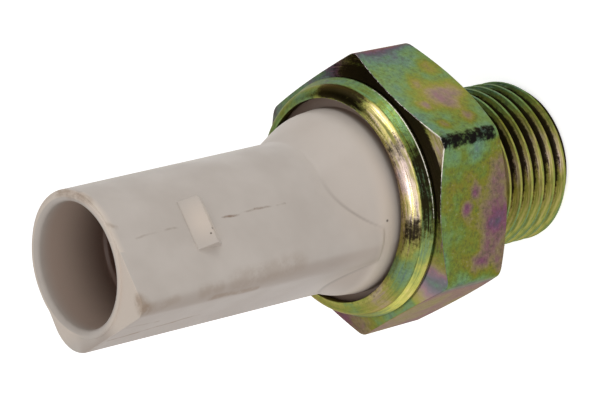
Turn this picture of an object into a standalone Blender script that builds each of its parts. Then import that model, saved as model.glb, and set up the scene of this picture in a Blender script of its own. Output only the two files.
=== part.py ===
"""Oil pressure sender: a steel hexagon body with a rolled rim and a moulded one-pin connector housing.

The part stands on its threaded end. +Z runs along the axis to the connector's mouth, +Y is the side
with the latch nub and +X is the flat base side of the connector. All sizes are in metres.
"""
import math

import bmesh
import bpy
from mathutils import Matrix, Vector

# clearance between neighbouring pieces
FIT = 0.0003

# threaded spigot and hexagon, M16 x 1.5 with a 24 mm spanner size
THREAD_DIAMETER = 0.016
THREAD_LENGTH = 0.0132
THREAD_PITCH = 0.0015
THREAD_DEPTH_PER_PITCH = 0.6134
THREAD_CREST_PER_PITCH = 1 / 8
THREAD_FLANK = math.radians(30)
THREAD_START = math.radians(120)
THREAD_END_CHAMFER = 0.00095
THREAD_SPARE_TURNS = 2
RUNOUT_LENGTH = 0.0005
RUNOUT_STEP = 0.0001
HEX_ACROSS_FLATS = 0.024
HEX_THICKNESS = 0.0088
HEX_CORNER_ROUND = 0.0006
HEX_TURN = math.radians(-3.2)
HEX_BACK_FACE_RADIUS = 0.0116
HEX_BACK_CHAMFER = math.radians(45)
HEX_FRONT_FACE_RADIUS = 0.01165
HEX_FRONT_CHAMFER = math.radians(23)

# neck groove and rolled rim in front of the hexagon
NECK_RADIUS = 0.0112
NECK_HEIGHT = 0.0004
COLLAR_FOOT_RADIUS = 0.0115
COLLAR_FOOT_HEIGHT = 0.00015
RIM_SIDE_RADIUS = 0.01105
RIM_ROLL_RADIUS = 0.001
LIP_INNER_RADIUS = 0.00987
LIP_THICKNESS = 0.00086

# bores of the body
PORT_RADIUS = 0.002
ORIFICE_RADIUS = 0.0008
ORIFICE_LENGTH = 0.0032
PORT_DRILL_POINT = math.radians(31)
CHAMBER_RADIUS = 0.0062
CHAMBER_DEPTH = 0.001
FLOOR_THICKNESS = 0.002
DIAPHRAGM_BORE_RADIUS = 0.009
RIM_WALL = 0.0006

# pieces stacked on the body's ledge
SEAL_THICKNESS = 0.001
SEAL_INNER_RADIUS = 0.0068
FOIL_THICKNESS = 0.0002
CLAMP_RING_THICKNESS = 0.0012
CLAMP_RING_EDGE = 0.0002
PRESSURE_PLATE_RADIUS = 0.0042
PRESSURE_PLATE_THICKNESS = 0.0008
EARTH_THICKNESS = 0.0006
EARTH_HOLE_RADIUS = 0.0029
PIN_FOOT_THICKNESS = 0.0006
PIN_STEM_RADIUS = 0.0012
CONTACT_TRAVEL = 0.0004

# moving contact plate, its rivets and its spring
CONTACT_LENGTH = 0.011
CONTACT_WIDTH = 0.0046
CONTACT_THICKNESS = 0.0004
RIVET_SPACING = 0.0076
RIVET_HEAD_RADIUS = 0.001
RIVET_HEAD_THICKNESS = 0.0004
RIVET_TAIL_THICKNESS = 0.0002
RIVET_SHANK_RADIUS = 0.0005
SPRING_RADIUS = 0.0023
SPRING_WIRE_RADIUS = 0.00025
SPRING_LENGTH = 0.0051
SPRING_TURNS = 5
SPRING_POINTS_PER_TURN = 20
SPRING_CUP_RADIUS = 0.0033
SPRING_CUP_THICKNESS = 0.0012
SPRING_CUP_BOSS_LENGTH = 0.0011

# terminal blade
BLADE_WIDTH = 0.0048
BLADE_THICKNESS = 0.0008
BLADE_TIP_BEVEL = 0.0003
BLADE_TIP_TAPER = 0.0009
BLADE_TIP_DEPTH = 0.0066
TERMINAL_FOOT_THICKNESS = 0.0006

# housing flange, its sealing ring and its cone
SKIRT_LENGTH = 0.001
FLANGE_THICKNESS = 0.00205
SEAL_RING_WIRE = 0.0009
BASE_RADIUS = 0.00885
BASE_HEIGHT = 0.0029
CONE_HEIGHT = 0.0044
CONE_TOP_RADIUS = 0.0066
CONE_ROUND = 0.0008
HOUSING_LENGTH = 0.0312

# connector shroud: round on -X, two nearly parallel flats, a flat base on +X
SHROUD_ARC_RADIUS = 0.00642
SHROUD_BASE_OFFSET = 0.00735
SHROUD_FLARE = math.radians(1.2)
SHROUD_DRAFT = math.radians(0.45)
SHROUD_NUB_CORNER = 0.0012
SHROUD_FAR_CORNER = 0.003
SHROUD_EDGE_ROUND = 0.0004
CORNER_RUNOUT_STEP = 0.00035
MOUTH_STEP = 0.0002
MOUTH_RING_WALL = 0.00075

# socket inside the shroud
SOCKET_RADIUS = 0.0057
SOCKET_OFFSET = 0.0003
SOCKET_LEAD_IN = 0.0005
SOCKET_SHOULDER_DEPTH = 0.0078
SOCKET_SHOULDER_STEP = 0.0003
SOCKET_DEPTH = 0.0164

# latch nub on the +Y flat
NUB_WIDTH = 0.0044
NUB_OFFSET = 0.0011
NUB_FRONT_DEPTH = 0.008
NUB_FRONT_HEIGHT = 0.00045
NUB_PEAK_HEIGHT = 0.00095
NUB_RAMP_LENGTH = 0.00165
NUB_BACK_LENGTH = 0.0016

# facets
ROUND_STEPS = 54
THREAD_STEPS = 32
STACK_STEPS = 32
SMALL_STEPS = 28
RIVET_STEPS = 16
ARC_STEPS = 7
MERGE = 0.00001
CUT_OVERRUN = 0.001

# heights of the stack, from the thread's end face up
seat_z = THREAD_LENGTH
hex_front_z = seat_z + HEX_THICKNESS
ledge_z = seat_z + FLOOR_THICKNESS
seal_z = ledge_z + FIT
lower_foil_z = seal_z + SEAL_THICKNESS + FIT
upper_foil_z = lower_foil_z + FOIL_THICKNESS + FIT
clamp_z = upper_foil_z + FOIL_THICKNESS + FIT
earth_z = clamp_z + CLAMP_RING_THICKNESS + FIT
skirt_z = earth_z + EARTH_THICKNESS + FIT
flange_z = skirt_z + SKIRT_LENGTH
seal_ring_z = flange_z - FIT - SEAL_RING_WIRE / 2
rim_bore_z = seal_ring_z - SEAL_RING_WIRE / 2 - FIT
flange_top_z = flange_z + FLANGE_THICKNESS
lip_z = flange_top_z + FIT
base_top_z = flange_top_z + BASE_HEIGHT
cone_top_z = base_top_z + CONE_HEIGHT
mouth_z = flange_top_z + HOUSING_LENGTH
socket_floor_z = mouth_z - SOCKET_DEPTH

# moving pieces, from the diaphragm up
plate_z = clamp_z
pin_z = plate_z + PRESSURE_PLATE_THICKNESS + FIT
rivet_z = earth_z + EARTH_THICKNESS + FIT
rivet_head_z = rivet_z + RIVET_HEAD_THICKNESS
contact_z = rivet_z + RIVET_HEAD_THICKNESS + FIT
contact_top_z = contact_z + CONTACT_THICKNESS
pin_top_z = contact_z - FIT
spring_z = contact_top_z + FIT
spring_top_z = spring_z + SPRING_LENGTH
cup_z = spring_top_z + FIT
terminal_z = cup_z + SPRING_CUP_THICKNESS + FIT
ceiling_z = terminal_z + TERMINAL_FOOT_THICKNESS + FIT
rivet_top_z = contact_top_z + FIT + RIVET_TAIL_THICKNESS
contact_room_z = rivet_top_z + CONTACT_TRAVEL + FIT / 2
blade_tip_z = mouth_z - BLADE_TIP_DEPTH

# radii that follow from their neighbours
rim_bore_radius = RIM_SIDE_RADIUS - RIM_WALL
flange_radius = rim_bore_radius - FIT
stack_radius = DIAPHRAGM_BORE_RADIUS - FIT
seal_ring_radius = (stack_radius + rim_bore_radius) / 2 + FIT / 2
plate_hole_radius = PRESSURE_PLATE_RADIUS + FIT
pin_foot_radius = EARTH_HOLE_RADIUS - FIT
spring_room_radius = SPRING_CUP_RADIUS + FIT
contact_room_radius = CONTACT_LENGTH / 2 + FIT
hex_corner_radius = HEX_ACROSS_FLATS / 2 / math.cos(math.pi / 6)


def clear_scene():
    for old in list(bpy.data.objects):
        bpy.data.objects.remove(old, do_unlink=True)


def make_collection(name):
    collection = bpy.data.collections.new(name)
    bpy.context.scene.collection.children.link(collection)
    return collection


def make_material(name, colour, roughness, metallic):
    material = bpy.data.materials.new(name)
    material.use_nodes = True
    shader = material.node_tree.nodes["Principled BSDF"]
    shader.inputs["Base Color"].default_value = (*colour, 1.0)
    shader.inputs["Roughness"].default_value = roughness
    shader.inputs["Metallic"].default_value = metallic
    material.diffuse_color = (*colour, 1.0)
    return material


def add_object(name, mesh, collection, material=None):
    obj = bpy.data.objects.new(name, mesh)
    collection.objects.link(obj)
    if material:
        mesh.materials.append(material)
    return obj


def mesh_from(name, bm):
    bmesh.ops.recalc_face_normals(bm, faces=bm.faces)
    mesh = bpy.data.meshes.new(name)
    bm.to_mesh(mesh)
    bm.free()
    mesh.shade_smooth()
    mesh.set_sharp_from_angle(angle=math.radians(30))
    return mesh


def arc(centre_r, centre_z, radius, start, end, steps=ARC_STEPS):
    """Points on a circle in the (r, z) plane, from one angle to the other, both ends included."""
    points = []
    for i in range(steps + 1):
        angle = start + (end - start) * i / steps
        points.append((centre_r + radius * math.cos(angle), centre_z + radius * math.sin(angle)))
    return points


def turned(name, profile, collection, material=None, closed=False, steps=ROUND_STEPS):
    """A turned solid: the profile's (r, z) points run down the outer side and Screw turns them."""
    mesh = bpy.data.meshes.new(name)
    edges = [(i, i + 1) for i in range(len(profile) - 1)]
    if closed:
        edges.append((len(profile) - 1, 0))
    mesh.from_pydata([(r, 0.0, z) for r, z in profile], edges, [])
    obj = add_object(name, mesh, collection, material)
    screw = obj.modifiers.new("turn", "SCREW")
    screw.steps = steps
    screw.render_steps = steps
    screw.use_merge_vertices = True
    screw.merge_threshold = MERGE
    screw.use_smooth_shade = True
    return obj


def ring(name, inner, outer, bottom, top, edge, collection, material, steps=STACK_STEPS):
    """A flat ring whose outer and inner edges are broken by a small chamfer."""
    profile = [
        (inner + edge, top), (outer - edge, top), (outer, top - edge), (outer, bottom + edge),
        (outer - edge, bottom), (inner + edge, bottom), (inner, bottom + edge), (inner, top - edge)]
    return turned(name, profile, collection, material, closed=True, steps=steps)


def as_cutter(obj):
    obj.hide_render = True
    obj.display_type = "WIRE"
    return obj


def boolean(obj, other, operation):
    modifier = obj.modifiers.new(other.name, "BOOLEAN")
    modifier.operation = operation
    modifier.object = other
    modifier.solver = "EXACT"


def lofted(name, rings, collection, material=None):
    """A closed solid through rings of equal point counts, each a list of (x, y, z), bottom to top."""
    bm = bmesh.new()
    rows = [[bm.verts.new(point) for point in points] for points in rings]
    count = len(rows[0])
    for low, high in zip(rows, rows[1:]):
        for i in range(count):
            j = (i + 1) % count
            bm.faces.new((low[i], low[j], high[j], high[i]))
    bm.faces.new(list(reversed(rows[0])))
    bm.faces.new(rows[-1])
    return add_object(name, mesh_from(name, bm), collection, material)


def box(name, low, high, collection, material=None):
    bm = bmesh.new()
    centre = (Vector(low) + Vector(high)) / 2
    size = Vector(high) - Vector(low)
    matrix = Matrix.Translation(centre) @ Matrix.Diagonal((*size, 1.0))
    bmesh.ops.create_cube(bm, size=1.0, matrix=matrix)
    return add_object(name, mesh_from(name, bm), collection, material)


def hexagon_bar(name, collection, material):
    """The hexagon before turning: a six-sided prism with slightly rounded long edges, one of them near +Y."""
    bm = bmesh.new()
    matrix = Matrix.Translation((0, 0, seat_z + HEX_THICKNESS / 2))
    matrix @= Matrix.Rotation(HEX_TURN, 4, "Z")
    bmesh.ops.create_cone(bm, cap_ends=True, segments=6, radius1=hex_corner_radius, radius2=hex_corner_radius,
                          depth=HEX_THICKNESS, matrix=matrix)
    upright = [e for e in bm.edges if abs(e.verts[0].co.z - e.verts[1].co.z) > HEX_THICKNESS / 2]
    bmesh.ops.bevel(bm, geom=upright, offset=HEX_CORNER_ROUND, segments=3, affect="EDGES", profile=0.5)
    return add_object(name, mesh_from(name, bm), collection, material)


def chamfer_blank(collection):
    """The turned outline that cuts the hexagon's corners at both ends."""
    reach = hex_corner_radius + CUT_OVERRUN
    front_drop = (reach - HEX_FRONT_FACE_RADIUS) * math.tan(HEX_FRONT_CHAMFER)
    back_rise = (reach - HEX_BACK_FACE_RADIUS) * math.tan(HEX_BACK_CHAMFER)
    profile = [
        (0, hex_front_z + CUT_OVERRUN),
        (HEX_FRONT_FACE_RADIUS - CUT_OVERRUN / math.tan(HEX_FRONT_CHAMFER), hex_front_z + CUT_OVERRUN),
        (reach, hex_front_z - front_drop),
        (reach, seat_z + back_rise),
        (HEX_BACK_FACE_RADIUS - CUT_OVERRUN / math.tan(HEX_BACK_CHAMFER), seat_z - CUT_OVERRUN),
        (0, seat_z - CUT_OVERRUN)]
    return as_cutter(turned("chamfer_blank", profile, collection))


def stem(collection):
    """What is turned on the body in front of the hexagon: rolled rim, sloping collar and neck groove."""
    roll_r = RIM_SIDE_RADIUS - RIM_ROLL_RADIUS
    roll_start = math.acos((LIP_INNER_RADIUS - roll_r) / RIM_ROLL_RADIUS)
    roll_z = lip_z + LIP_THICKNESS - RIM_ROLL_RADIUS * math.sin(roll_start)
    neck_z = hex_front_z + NECK_HEIGHT
    profile = [(0, lip_z + LIP_THICKNESS)]
    profile += arc(roll_r, roll_z, RIM_ROLL_RADIUS, roll_start, 0, steps=ARC_STEPS + 3)
    profile += [
        (COLLAR_FOOT_RADIUS, neck_z + COLLAR_FOOT_HEIGHT),
        (COLLAR_FOOT_RADIUS, neck_z),
        (NECK_RADIUS, neck_z),
        (NECK_RADIUS, hex_front_z - NECK_HEIGHT),
        (0, hex_front_z - NECK_HEIGHT)]
    return as_cutter(turned("stem", profile, collection))


def thread_rod(collection):
    """A rod with the thread cut along all of it, longer than the spigot at both ends.

    Four rows of points a turn follow the helix: both edges of the crest and both edges of the root. Each row
    climbs one pitch a turn, so it meets the row that lies one turn further on.
    """
    crest = THREAD_DIAMETER / 2
    depth = THREAD_PITCH * THREAD_DEPTH_PER_PITCH
    half_crest = THREAD_PITCH * THREAD_CREST_PER_PITCH / 2
    flank = depth * math.tan(THREAD_FLANK)
    section = [
        (crest, -half_crest), (crest, half_crest),
        (crest - depth, half_crest + flank), (crest - depth, THREAD_PITCH - half_crest - flank)]
    start_z = -THREAD_SPARE_TURNS * THREAD_PITCH
    turns = math.ceil(THREAD_LENGTH / THREAD_PITCH) + 2 * THREAD_SPARE_TURNS
    bm = bmesh.new()
    rows = []
    for turn in range(turns):
        for radius, offset in section:
            row = []
            for i in range(THREAD_STEPS):
                angle = THREAD_START + 2 * math.pi * i / THREAD_STEPS
                z = start_z + THREAD_PITCH * (turn + i / THREAD_STEPS) + offset
                row.append(bm.verts.new((radius * math.cos(angle), radius * math.sin(angle), z)))
            rows.append(row)
    for k in range(len(rows) - 1):
        for i in range(THREAD_STEPS - 1):
            bm.faces.new((rows[k][i], rows[k][i + 1], rows[k + 1][i + 1], rows[k + 1][i]))
        if k + 1 + len(section) < len(rows):
            after = k + len(section)
            bm.faces.new((rows[k][-1], rows[after][0], rows[after + 1][0], rows[k + 1][-1]))
    middle_z = (rows[0][0].co.z + rows[-1][0].co.z) / 2
    bottom = bm.verts.new((0, 0, start_z - CUT_OVERRUN))
    top = bm.verts.new((0, 0, rows[-1][-1].co.z + CUT_OVERRUN))
    for edge in [edge for edge in bm.edges if edge.is_boundary]:
        tip = bottom if edge.verts[0].co.z < middle_z else top
        bm.faces.new((edge.verts[0], edge.verts[1], tip))
    return as_cutter(add_object("thread_rod", mesh_from("thread_rod", bm), collection))


def spigot_length(collection):
    """The blank that cuts the threaded rod to its length, with the chamfer at its end."""
    top_z = seat_z + CHAMBER_DEPTH / 2
    thread_r = THREAD_DIAMETER / 2
    reach = thread_r + CUT_OVERRUN
    profile = [
        (0, top_z), (reach, top_z), (reach, THREAD_END_CHAMFER + CUT_OVERRUN),
        (thread_r - THREAD_END_CHAMFER, 0), (0, 0)]
    return as_cutter(turned("spigot_length", profile, collection))


def thread_runout(collection):
    """The plain ring between thread and hexagon, a little wider than the crests, so that the seat is round."""
    runout_r = THREAD_DIAMETER / 2 + RUNOUT_STEP
    top_z = seat_z + CHAMBER_DEPTH / 2
    bottom_z = seat_z - RUNOUT_LENGTH
    profile = [(0, top_z), (runout_r, top_z), (runout_r, bottom_z), (0, bottom_z)]
    return as_cutter(turned("thread_runout", profile, collection))


def body_bores(collection):
    """Port, orifice, pressure chamber and the two bores that take the stack, opened through the lip."""
    chamber_z = ledge_z - CHAMBER_DEPTH
    orifice_z = chamber_z - ORIFICE_LENGTH
    port_z = orifice_z - (PORT_RADIUS - ORIFICE_RADIUS) * math.tan(PORT_DRILL_POINT)
    top = lip_z + LIP_THICKNESS + CUT_OVERRUN
    profile = [
        (0, top), (LIP_INNER_RADIUS, top), (LIP_INNER_RADIUS, lip_z),
        (rim_bore_radius, lip_z), (rim_bore_radius, rim_bore_z),
        (DIAPHRAGM_BORE_RADIUS, rim_bore_z), (DIAPHRAGM_BORE_RADIUS, ledge_z),
        (CHAMBER_RADIUS, ledge_z), (CHAMBER_RADIUS, chamber_z),
        (ORIFICE_RADIUS, chamber_z), (ORIFICE_RADIUS, orifice_z),
        (PORT_RADIUS, port_z), (PORT_RADIUS, -CUT_OVERRUN), (0, -CUT_OVERRUN)]
    return as_cutter(turned("body_bores", profile, collection))


def build_body(parts, cutters, material):
    body = hexagon_bar("hex_body", parts, material)
    boolean(body, chamfer_blank(cutters), "INTERSECT")
    boolean(body, stem(cutters), "UNION")
    spigot = thread_rod(cutters)
    boolean(spigot, spigot_length(cutters), "INTERSECT")
    boolean(body, spigot, "UNION")
    boolean(body, thread_runout(cutters), "UNION")
    boolean(body, body_bores(cutters), "DIFFERENCE")


def build_stack(parts, rubber, foil, steel, brass):
    """The pieces that lie on the body's ledge, in the order in which they are dropped in."""
    ring("diaphragm_seal", SEAL_INNER_RADIUS, stack_radius, seal_z, seal_z + SEAL_THICKNESS,
         FIT / 2, parts, rubber)
    for name, bottom in (("diaphragm_lower", lower_foil_z), ("diaphragm_upper", upper_foil_z)):
        top = bottom + FOIL_THICKNESS
        turned(name, [(0, top), (stack_radius, top), (stack_radius, bottom), (0, bottom)], parts, foil)
    ring("clamp_ring", plate_hole_radius, stack_radius, clamp_z, clamp_z + CLAMP_RING_THICKNESS,
         CLAMP_RING_EDGE, parts, steel)
    ring("earth_contact", EARTH_HOLE_RADIUS, stack_radius, earth_z, earth_z + EARTH_THICKNESS,
         FIT / 2, parts, brass)
    circle = arc(seal_ring_radius, seal_ring_z, SEAL_RING_WIRE / 2, math.pi / 2, -1.5 * math.pi, steps=10)
    turned("housing_seal", circle[:-1], parts, rubber, closed=True, steps=STACK_STEPS)


def contact_outline(half_length, half_width, steps=ARC_STEPS):
    """A bar with round ends, as (x, y) points in turn."""
    middle = half_length - half_width
    right = arc(middle, 0, half_width, -math.pi / 2, math.pi / 2, steps)
    left = arc(-middle, 0, half_width, math.pi / 2, 3 * math.pi / 2, steps)
    return right + left


def build_contacts(parts, cutters, steel, plastic, brass, silver):
    """The pieces that rise with the diaphragm: plate, pin, contact plate and its two rivets."""
    edge = FIT / 2
    plate_top = plate_z + PRESSURE_PLATE_THICKNESS
    turned("pressure_plate", [
        (0, plate_top), (PRESSURE_PLATE_RADIUS - edge, plate_top), (PRESSURE_PLATE_RADIUS, plate_top - edge),
        (PRESSURE_PLATE_RADIUS, plate_z + edge), (PRESSURE_PLATE_RADIUS - edge, plate_z), (0, plate_z)],
        parts, steel, steps=SMALL_STEPS)
    foot_top = pin_z + PIN_FOOT_THICKNESS
    turned("push_pin", [
        (0, pin_top_z), (PIN_STEM_RADIUS - edge, pin_top_z), (PIN_STEM_RADIUS, pin_top_z - edge),
        (PIN_STEM_RADIUS, foot_top), (pin_foot_radius, foot_top), (pin_foot_radius, pin_z), (0, pin_z)],
        parts, plastic, steps=SMALL_STEPS)
    outline = contact_outline(CONTACT_LENGTH / 2, CONTACT_WIDTH / 2)
    rings = [[(x, y, z) for x, y in outline] for z in (contact_z, contact_top_z)]
    plate = lofted("contact_plate", rings, parts, brass)
    hole_radius = RIVET_SHANK_RADIUS + FIT
    hole_profile = [
        (0, contact_top_z + CUT_OVERRUN), (hole_radius, contact_top_z + CUT_OVERRUN),
        (hole_radius, contact_z - CUT_OVERRUN), (0, contact_z - CUT_OVERRUN)]
    tail_z = contact_top_z + FIT
    rivet_profile = [
        (0, rivet_top_z), (RIVET_HEAD_RADIUS, rivet_top_z), (RIVET_HEAD_RADIUS, tail_z),
        (RIVET_SHANK_RADIUS, tail_z), (RIVET_SHANK_RADIUS, rivet_head_z),
        (RIVET_HEAD_RADIUS, rivet_head_z), (RIVET_HEAD_RADIUS, rivet_z + edge),
        (RIVET_HEAD_RADIUS - edge, rivet_z), (0, rivet_z)]
    half = RIVET_SPACING / 2
    for name, x in (("contact_rivet_base_side", half), ("contact_rivet_round_side", -half)):
        hole = as_cutter(turned(name + "_hole", hole_profile, cutters, steps=RIVET_STEPS))
        hole.location.x = x
        boolean(plate, hole, "DIFFERENCE")
        rivet = turned(name, rivet_profile, parts, silver, steps=RIVET_STEPS)
        rivet.location.x = x


def build_spring(parts, steel):
    """A coil along the axis, with a first and a last turn of so small a pitch that the ends lie flat."""
    curve = bpy.data.curves.new("contact_spring", "CURVE")
    curve.dimensions = "3D"
    curve.bevel_depth = SPRING_WIRE_RADIUS
    curve.bevel_resolution = 2
    curve.use_fill_caps = True
    count = SPRING_TURNS * SPRING_POINTS_PER_TURN + 1
    wire = 2 * SPRING_WIRE_RADIUS
    end_height = wire + FIT / 2
    rise = SPRING_LENGTH - wire - 2 * end_height
    spline = curve.splines.new("POLY")
    spline.points.add(count - 1)
    for i, point in enumerate(spline.points):
        turn = i / SPRING_POINTS_PER_TURN
        low = min(turn, 1.0)
        high = max(turn - (SPRING_TURNS - 1), 0.0)
        middle = min(max(turn - 1, 0.0), SPRING_TURNS - 2) / (SPRING_TURNS - 2)
        z = spring_z + SPRING_WIRE_RADIUS + end_height * (low + high) + rise * middle
        angle = 2 * math.pi * turn
        point.co = (SPRING_RADIUS * math.cos(angle), SPRING_RADIUS * math.sin(angle), z, 1.0)
    obj = bpy.data.objects.new("contact_spring", curve)
    parts.objects.link(obj)
    curve.materials.append(steel)


def build_terminal(parts, cutters, brass):
    """The spring's cup, and the stamped terminal: a round foot and a blade that stands in the socket."""
    boss_radius = SPRING_RADIUS - SPRING_WIRE_RADIUS - FIT
    cup_top = cup_z + SPRING_CUP_THICKNESS
    boss_z = cup_z - SPRING_CUP_BOSS_LENGTH
    turned("spring_cup", [
        (0, cup_top), (SPRING_CUP_RADIUS, cup_top), (SPRING_CUP_RADIUS, cup_z), (boss_radius, cup_z),
        (boss_radius, boss_z + FIT), (boss_radius - FIT, boss_z), (0, boss_z)],
        parts, brass, steps=SMALL_STEPS)
    foot_top = terminal_z + TERMINAL_FOOT_THICKNESS
    terminal = turned("terminal_blade", [
        (0, foot_top), (SPRING_CUP_RADIUS, foot_top), (SPRING_CUP_RADIUS, terminal_z), (0, terminal_z)],
        parts, brass, steps=SMALL_STEPS)
    half_width = BLADE_WIDTH / 2
    half_thickness = BLADE_THICKNESS / 2
    root_z = terminal_z + TERMINAL_FOOT_THICKNESS / 2
    rings = []
    for z, inset in ((root_z, 0), (blade_tip_z - BLADE_TIP_TAPER, 0), (blade_tip_z, BLADE_TIP_BEVEL)):
        w = half_width - 2 * inset
        t = half_thickness - inset
        rings.append([(w, t, z), (-w, t, z), (-w, -t, z), (w, -t, z)])
    boolean(terminal, as_cutter(lofted("blade", rings, cutters)), "UNION")


def shroud_outline(z, inset=0.0):
    """The connector's section at a height: an arc on -X, flats that lean out, two rounded base corners."""
    grow = (mouth_z - z) * math.tan(SHROUD_DRAFT) - inset
    radius = SHROUD_ARC_RADIUS + grow
    base = SHROUD_BASE_OFFSET + grow
    lean = SHROUD_FLARE
    touch = (-radius * math.sin(lean), radius * math.cos(lean))
    points = []

    def corner(sign, corner_radius):
        rounding = max(corner_radius - inset, MERGE)
        x = base - rounding
        y = touch[1] + (x - touch[0]) * math.tan(lean) - rounding / math.cos(lean)
        return x, sign * y, rounding

    steps = ARC_STEPS
    x, y, rounding = corner(-1, SHROUD_FAR_CORNER)
    for i in range(steps + 1):
        angle = -math.pi / 2 - lean + (math.pi / 2 + lean) * i / steps
        points.append((x + rounding * math.cos(angle), y + rounding * math.sin(angle)))
    x, y, rounding = corner(1, SHROUD_NUB_CORNER)
    for i in range(steps + 1):
        angle = (math.pi / 2 + lean) * i / steps
        points.append((x + rounding * math.cos(angle), y + rounding * math.sin(angle)))
    turn = 3 * steps
    start = math.pi / 2 + lean
    for i in range(turn + 1):
        angle = start + (2 * math.pi - 2 * start) * i / turn
        points.append((radius * math.cos(angle), radius * math.sin(angle)))
    return [(px, py, z) for px, py in points]


def shroud(collection):
    """The outer form of the connector, with its end edge rounded."""
    edge_z = mouth_z - SHROUD_EDGE_ROUND
    rings = [shroud_outline(flange_top_z), shroud_outline(cone_top_z), shroud_outline(edge_z)]
    for angle in (math.pi / 6, math.pi / 3, math.pi / 2):
        inset = SHROUD_EDGE_ROUND * (1 - math.cos(angle))
        rings.append(shroud_outline(edge_z + SHROUD_EDGE_ROUND * math.sin(angle), inset))
    return as_cutter(lofted("shroud", rings, collection))


def corner_runout(collection):
    """A turned envelope that ends the shroud's corners before they reach the rolled lip."""
    wide = hex_corner_radius
    start = BASE_RADIUS + CORNER_RUNOUT_STEP
    slope_z = base_top_z + wide - start
    low_z = base_top_z - 2 * CORNER_RUNOUT_STEP
    profile = [
        (0, mouth_z + CUT_OVERRUN), (wide, mouth_z + CUT_OVERRUN), (wide, slope_z),
        (start, base_top_z), (BASE_RADIUS - FIT, low_z), (0, low_z)]
    return as_cutter(turned("corner_runout", profile, collection))


def housing_base(parts, material):
    """Skirt, flange, round base and cone of the housing as one turned profile that ends inside the shroud."""
    slope = math.atan2(BASE_RADIUS - CONE_TOP_RADIUS, CONE_HEIGHT)
    round_z = base_top_z - CONE_ROUND * math.tan(slope / 2)
    end_z = cone_top_z + CUT_OVERRUN
    end_radius = CONE_TOP_RADIUS - CUT_OVERRUN * math.tan(slope)
    profile = [(0, end_z), (end_radius, end_z)]
    profile += arc(BASE_RADIUS - CONE_ROUND, round_z, CONE_ROUND, slope, 0, steps=4)
    profile += [
        (BASE_RADIUS, flange_top_z), (flange_radius, flange_top_z), (flange_radius, flange_z),
        (stack_radius, flange_z), (stack_radius, skirt_z), (0, skirt_z)]
    return turned("connector_housing", profile, parts, material)


def flat_height(z):
    """How far the nub's flat lies from the axis at a height, where the nub's middle stands on it."""
    return SHROUD_ARC_RADIUS + (mouth_z - z) * math.tan(SHROUD_DRAFT) + NUB_OFFSET * math.tan(SHROUD_FLARE)


def nub(collection):
    """The latch nub: a ramp that rises from the mouth side, a peak and a short slope behind it."""
    front_z = mouth_z - NUB_FRONT_DEPTH
    peak_z = front_z - NUB_RAMP_LENGTH
    back_z = peak_z - NUB_BACK_LENGTH
    left = NUB_OFFSET - NUB_WIDTH / 2
    right = NUB_OFFSET + NUB_WIDTH / 2
    sunk_y = SHROUD_ARC_RADIUS - NUB_FRONT_HEIGHT
    side = [
        (sunk_y, back_z), (flat_height(back_z), back_z), (flat_height(peak_z) + NUB_PEAK_HEIGHT, peak_z),
        (flat_height(front_z) + NUB_FRONT_HEIGHT, front_z), (sunk_y, front_z)]
    rings = [[(x, y, z) for y, z in side] for x in (left, right)]
    return as_cutter(lofted("nub", rings, collection))


def socket_bore(collection):
    """The round socket with a rounded lead-in and a shoulder."""
    top = mouth_z + CUT_OVERRUN
    shoulder_z = mouth_z - SOCKET_SHOULDER_DEPTH
    inner = SOCKET_RADIUS - SOCKET_SHOULDER_STEP
    flare_radius = SOCKET_RADIUS + SOCKET_LEAD_IN
    profile = [(0, top), (flare_radius, top)]
    profile += arc(flare_radius, mouth_z - SOCKET_LEAD_IN, SOCKET_LEAD_IN, math.pi / 2, math.pi, steps=4)
    profile += [
        (SOCKET_RADIUS, shoulder_z + SOCKET_SHOULDER_STEP), (inner, shoulder_z),
        (inner, socket_floor_z), (0, socket_floor_z)]
    obj = as_cutter(turned("socket_bore", profile, collection))
    obj.location.x = SOCKET_OFFSET
    return obj


def mouth_relief(collection):
    """The step that leaves a round ring standing proud of the base corners at the mouth."""
    inner = SOCKET_RADIUS + MOUTH_RING_WALL
    outer = SHROUD_ARC_RADIUS + SHROUD_BASE_OFFSET
    top = mouth_z + CUT_OVERRUN
    profile = [(inner, top), (outer, top), (outer, mouth_z - MOUTH_STEP), (inner, mouth_z - MOUTH_STEP)]
    obj = as_cutter(turned("mouth_relief", profile, collection, closed=True))
    obj.location.x = SOCKET_OFFSET
    return obj


def housing_rooms(collection):
    """The rooms under the socket: a wide one for the contact plate, a narrow one for spring, cup and foot."""
    profile = [
        (0, ceiling_z), (spring_room_radius, ceiling_z), (spring_room_radius, contact_room_z),
        (contact_room_radius, contact_room_z), (contact_room_radius, skirt_z - CUT_OVERRUN),
        (0, skirt_z - CUT_OVERRUN)]
    return as_cutter(turned("housing_rooms", profile, collection))


def build_housing(parts, cutters, plastic):
    housing = housing_base(parts, plastic)
    outer = shroud(cutters)
    boolean(outer, corner_runout(cutters), "INTERSECT")
    boolean(housing, outer, "UNION")
    boolean(housing, nub(cutters), "UNION")
    boolean(housing, housing_rooms(cutters), "DIFFERENCE")
    half_width = BLADE_WIDTH / 2 + FIT
    half_thickness = BLADE_THICKNESS / 2 + FIT
    slot = box("blade_slot", (-half_width, -half_thickness, ceiling_z - FIT),
               (half_width, half_thickness, socket_floor_z + FIT), cutters)
    boolean(housing, as_cutter(slot), "DIFFERENCE")
    boolean(housing, socket_bore(cutters), "DIFFERENCE")
    boolean(housing, mouth_relief(cutters), "DIFFERENCE")


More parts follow.
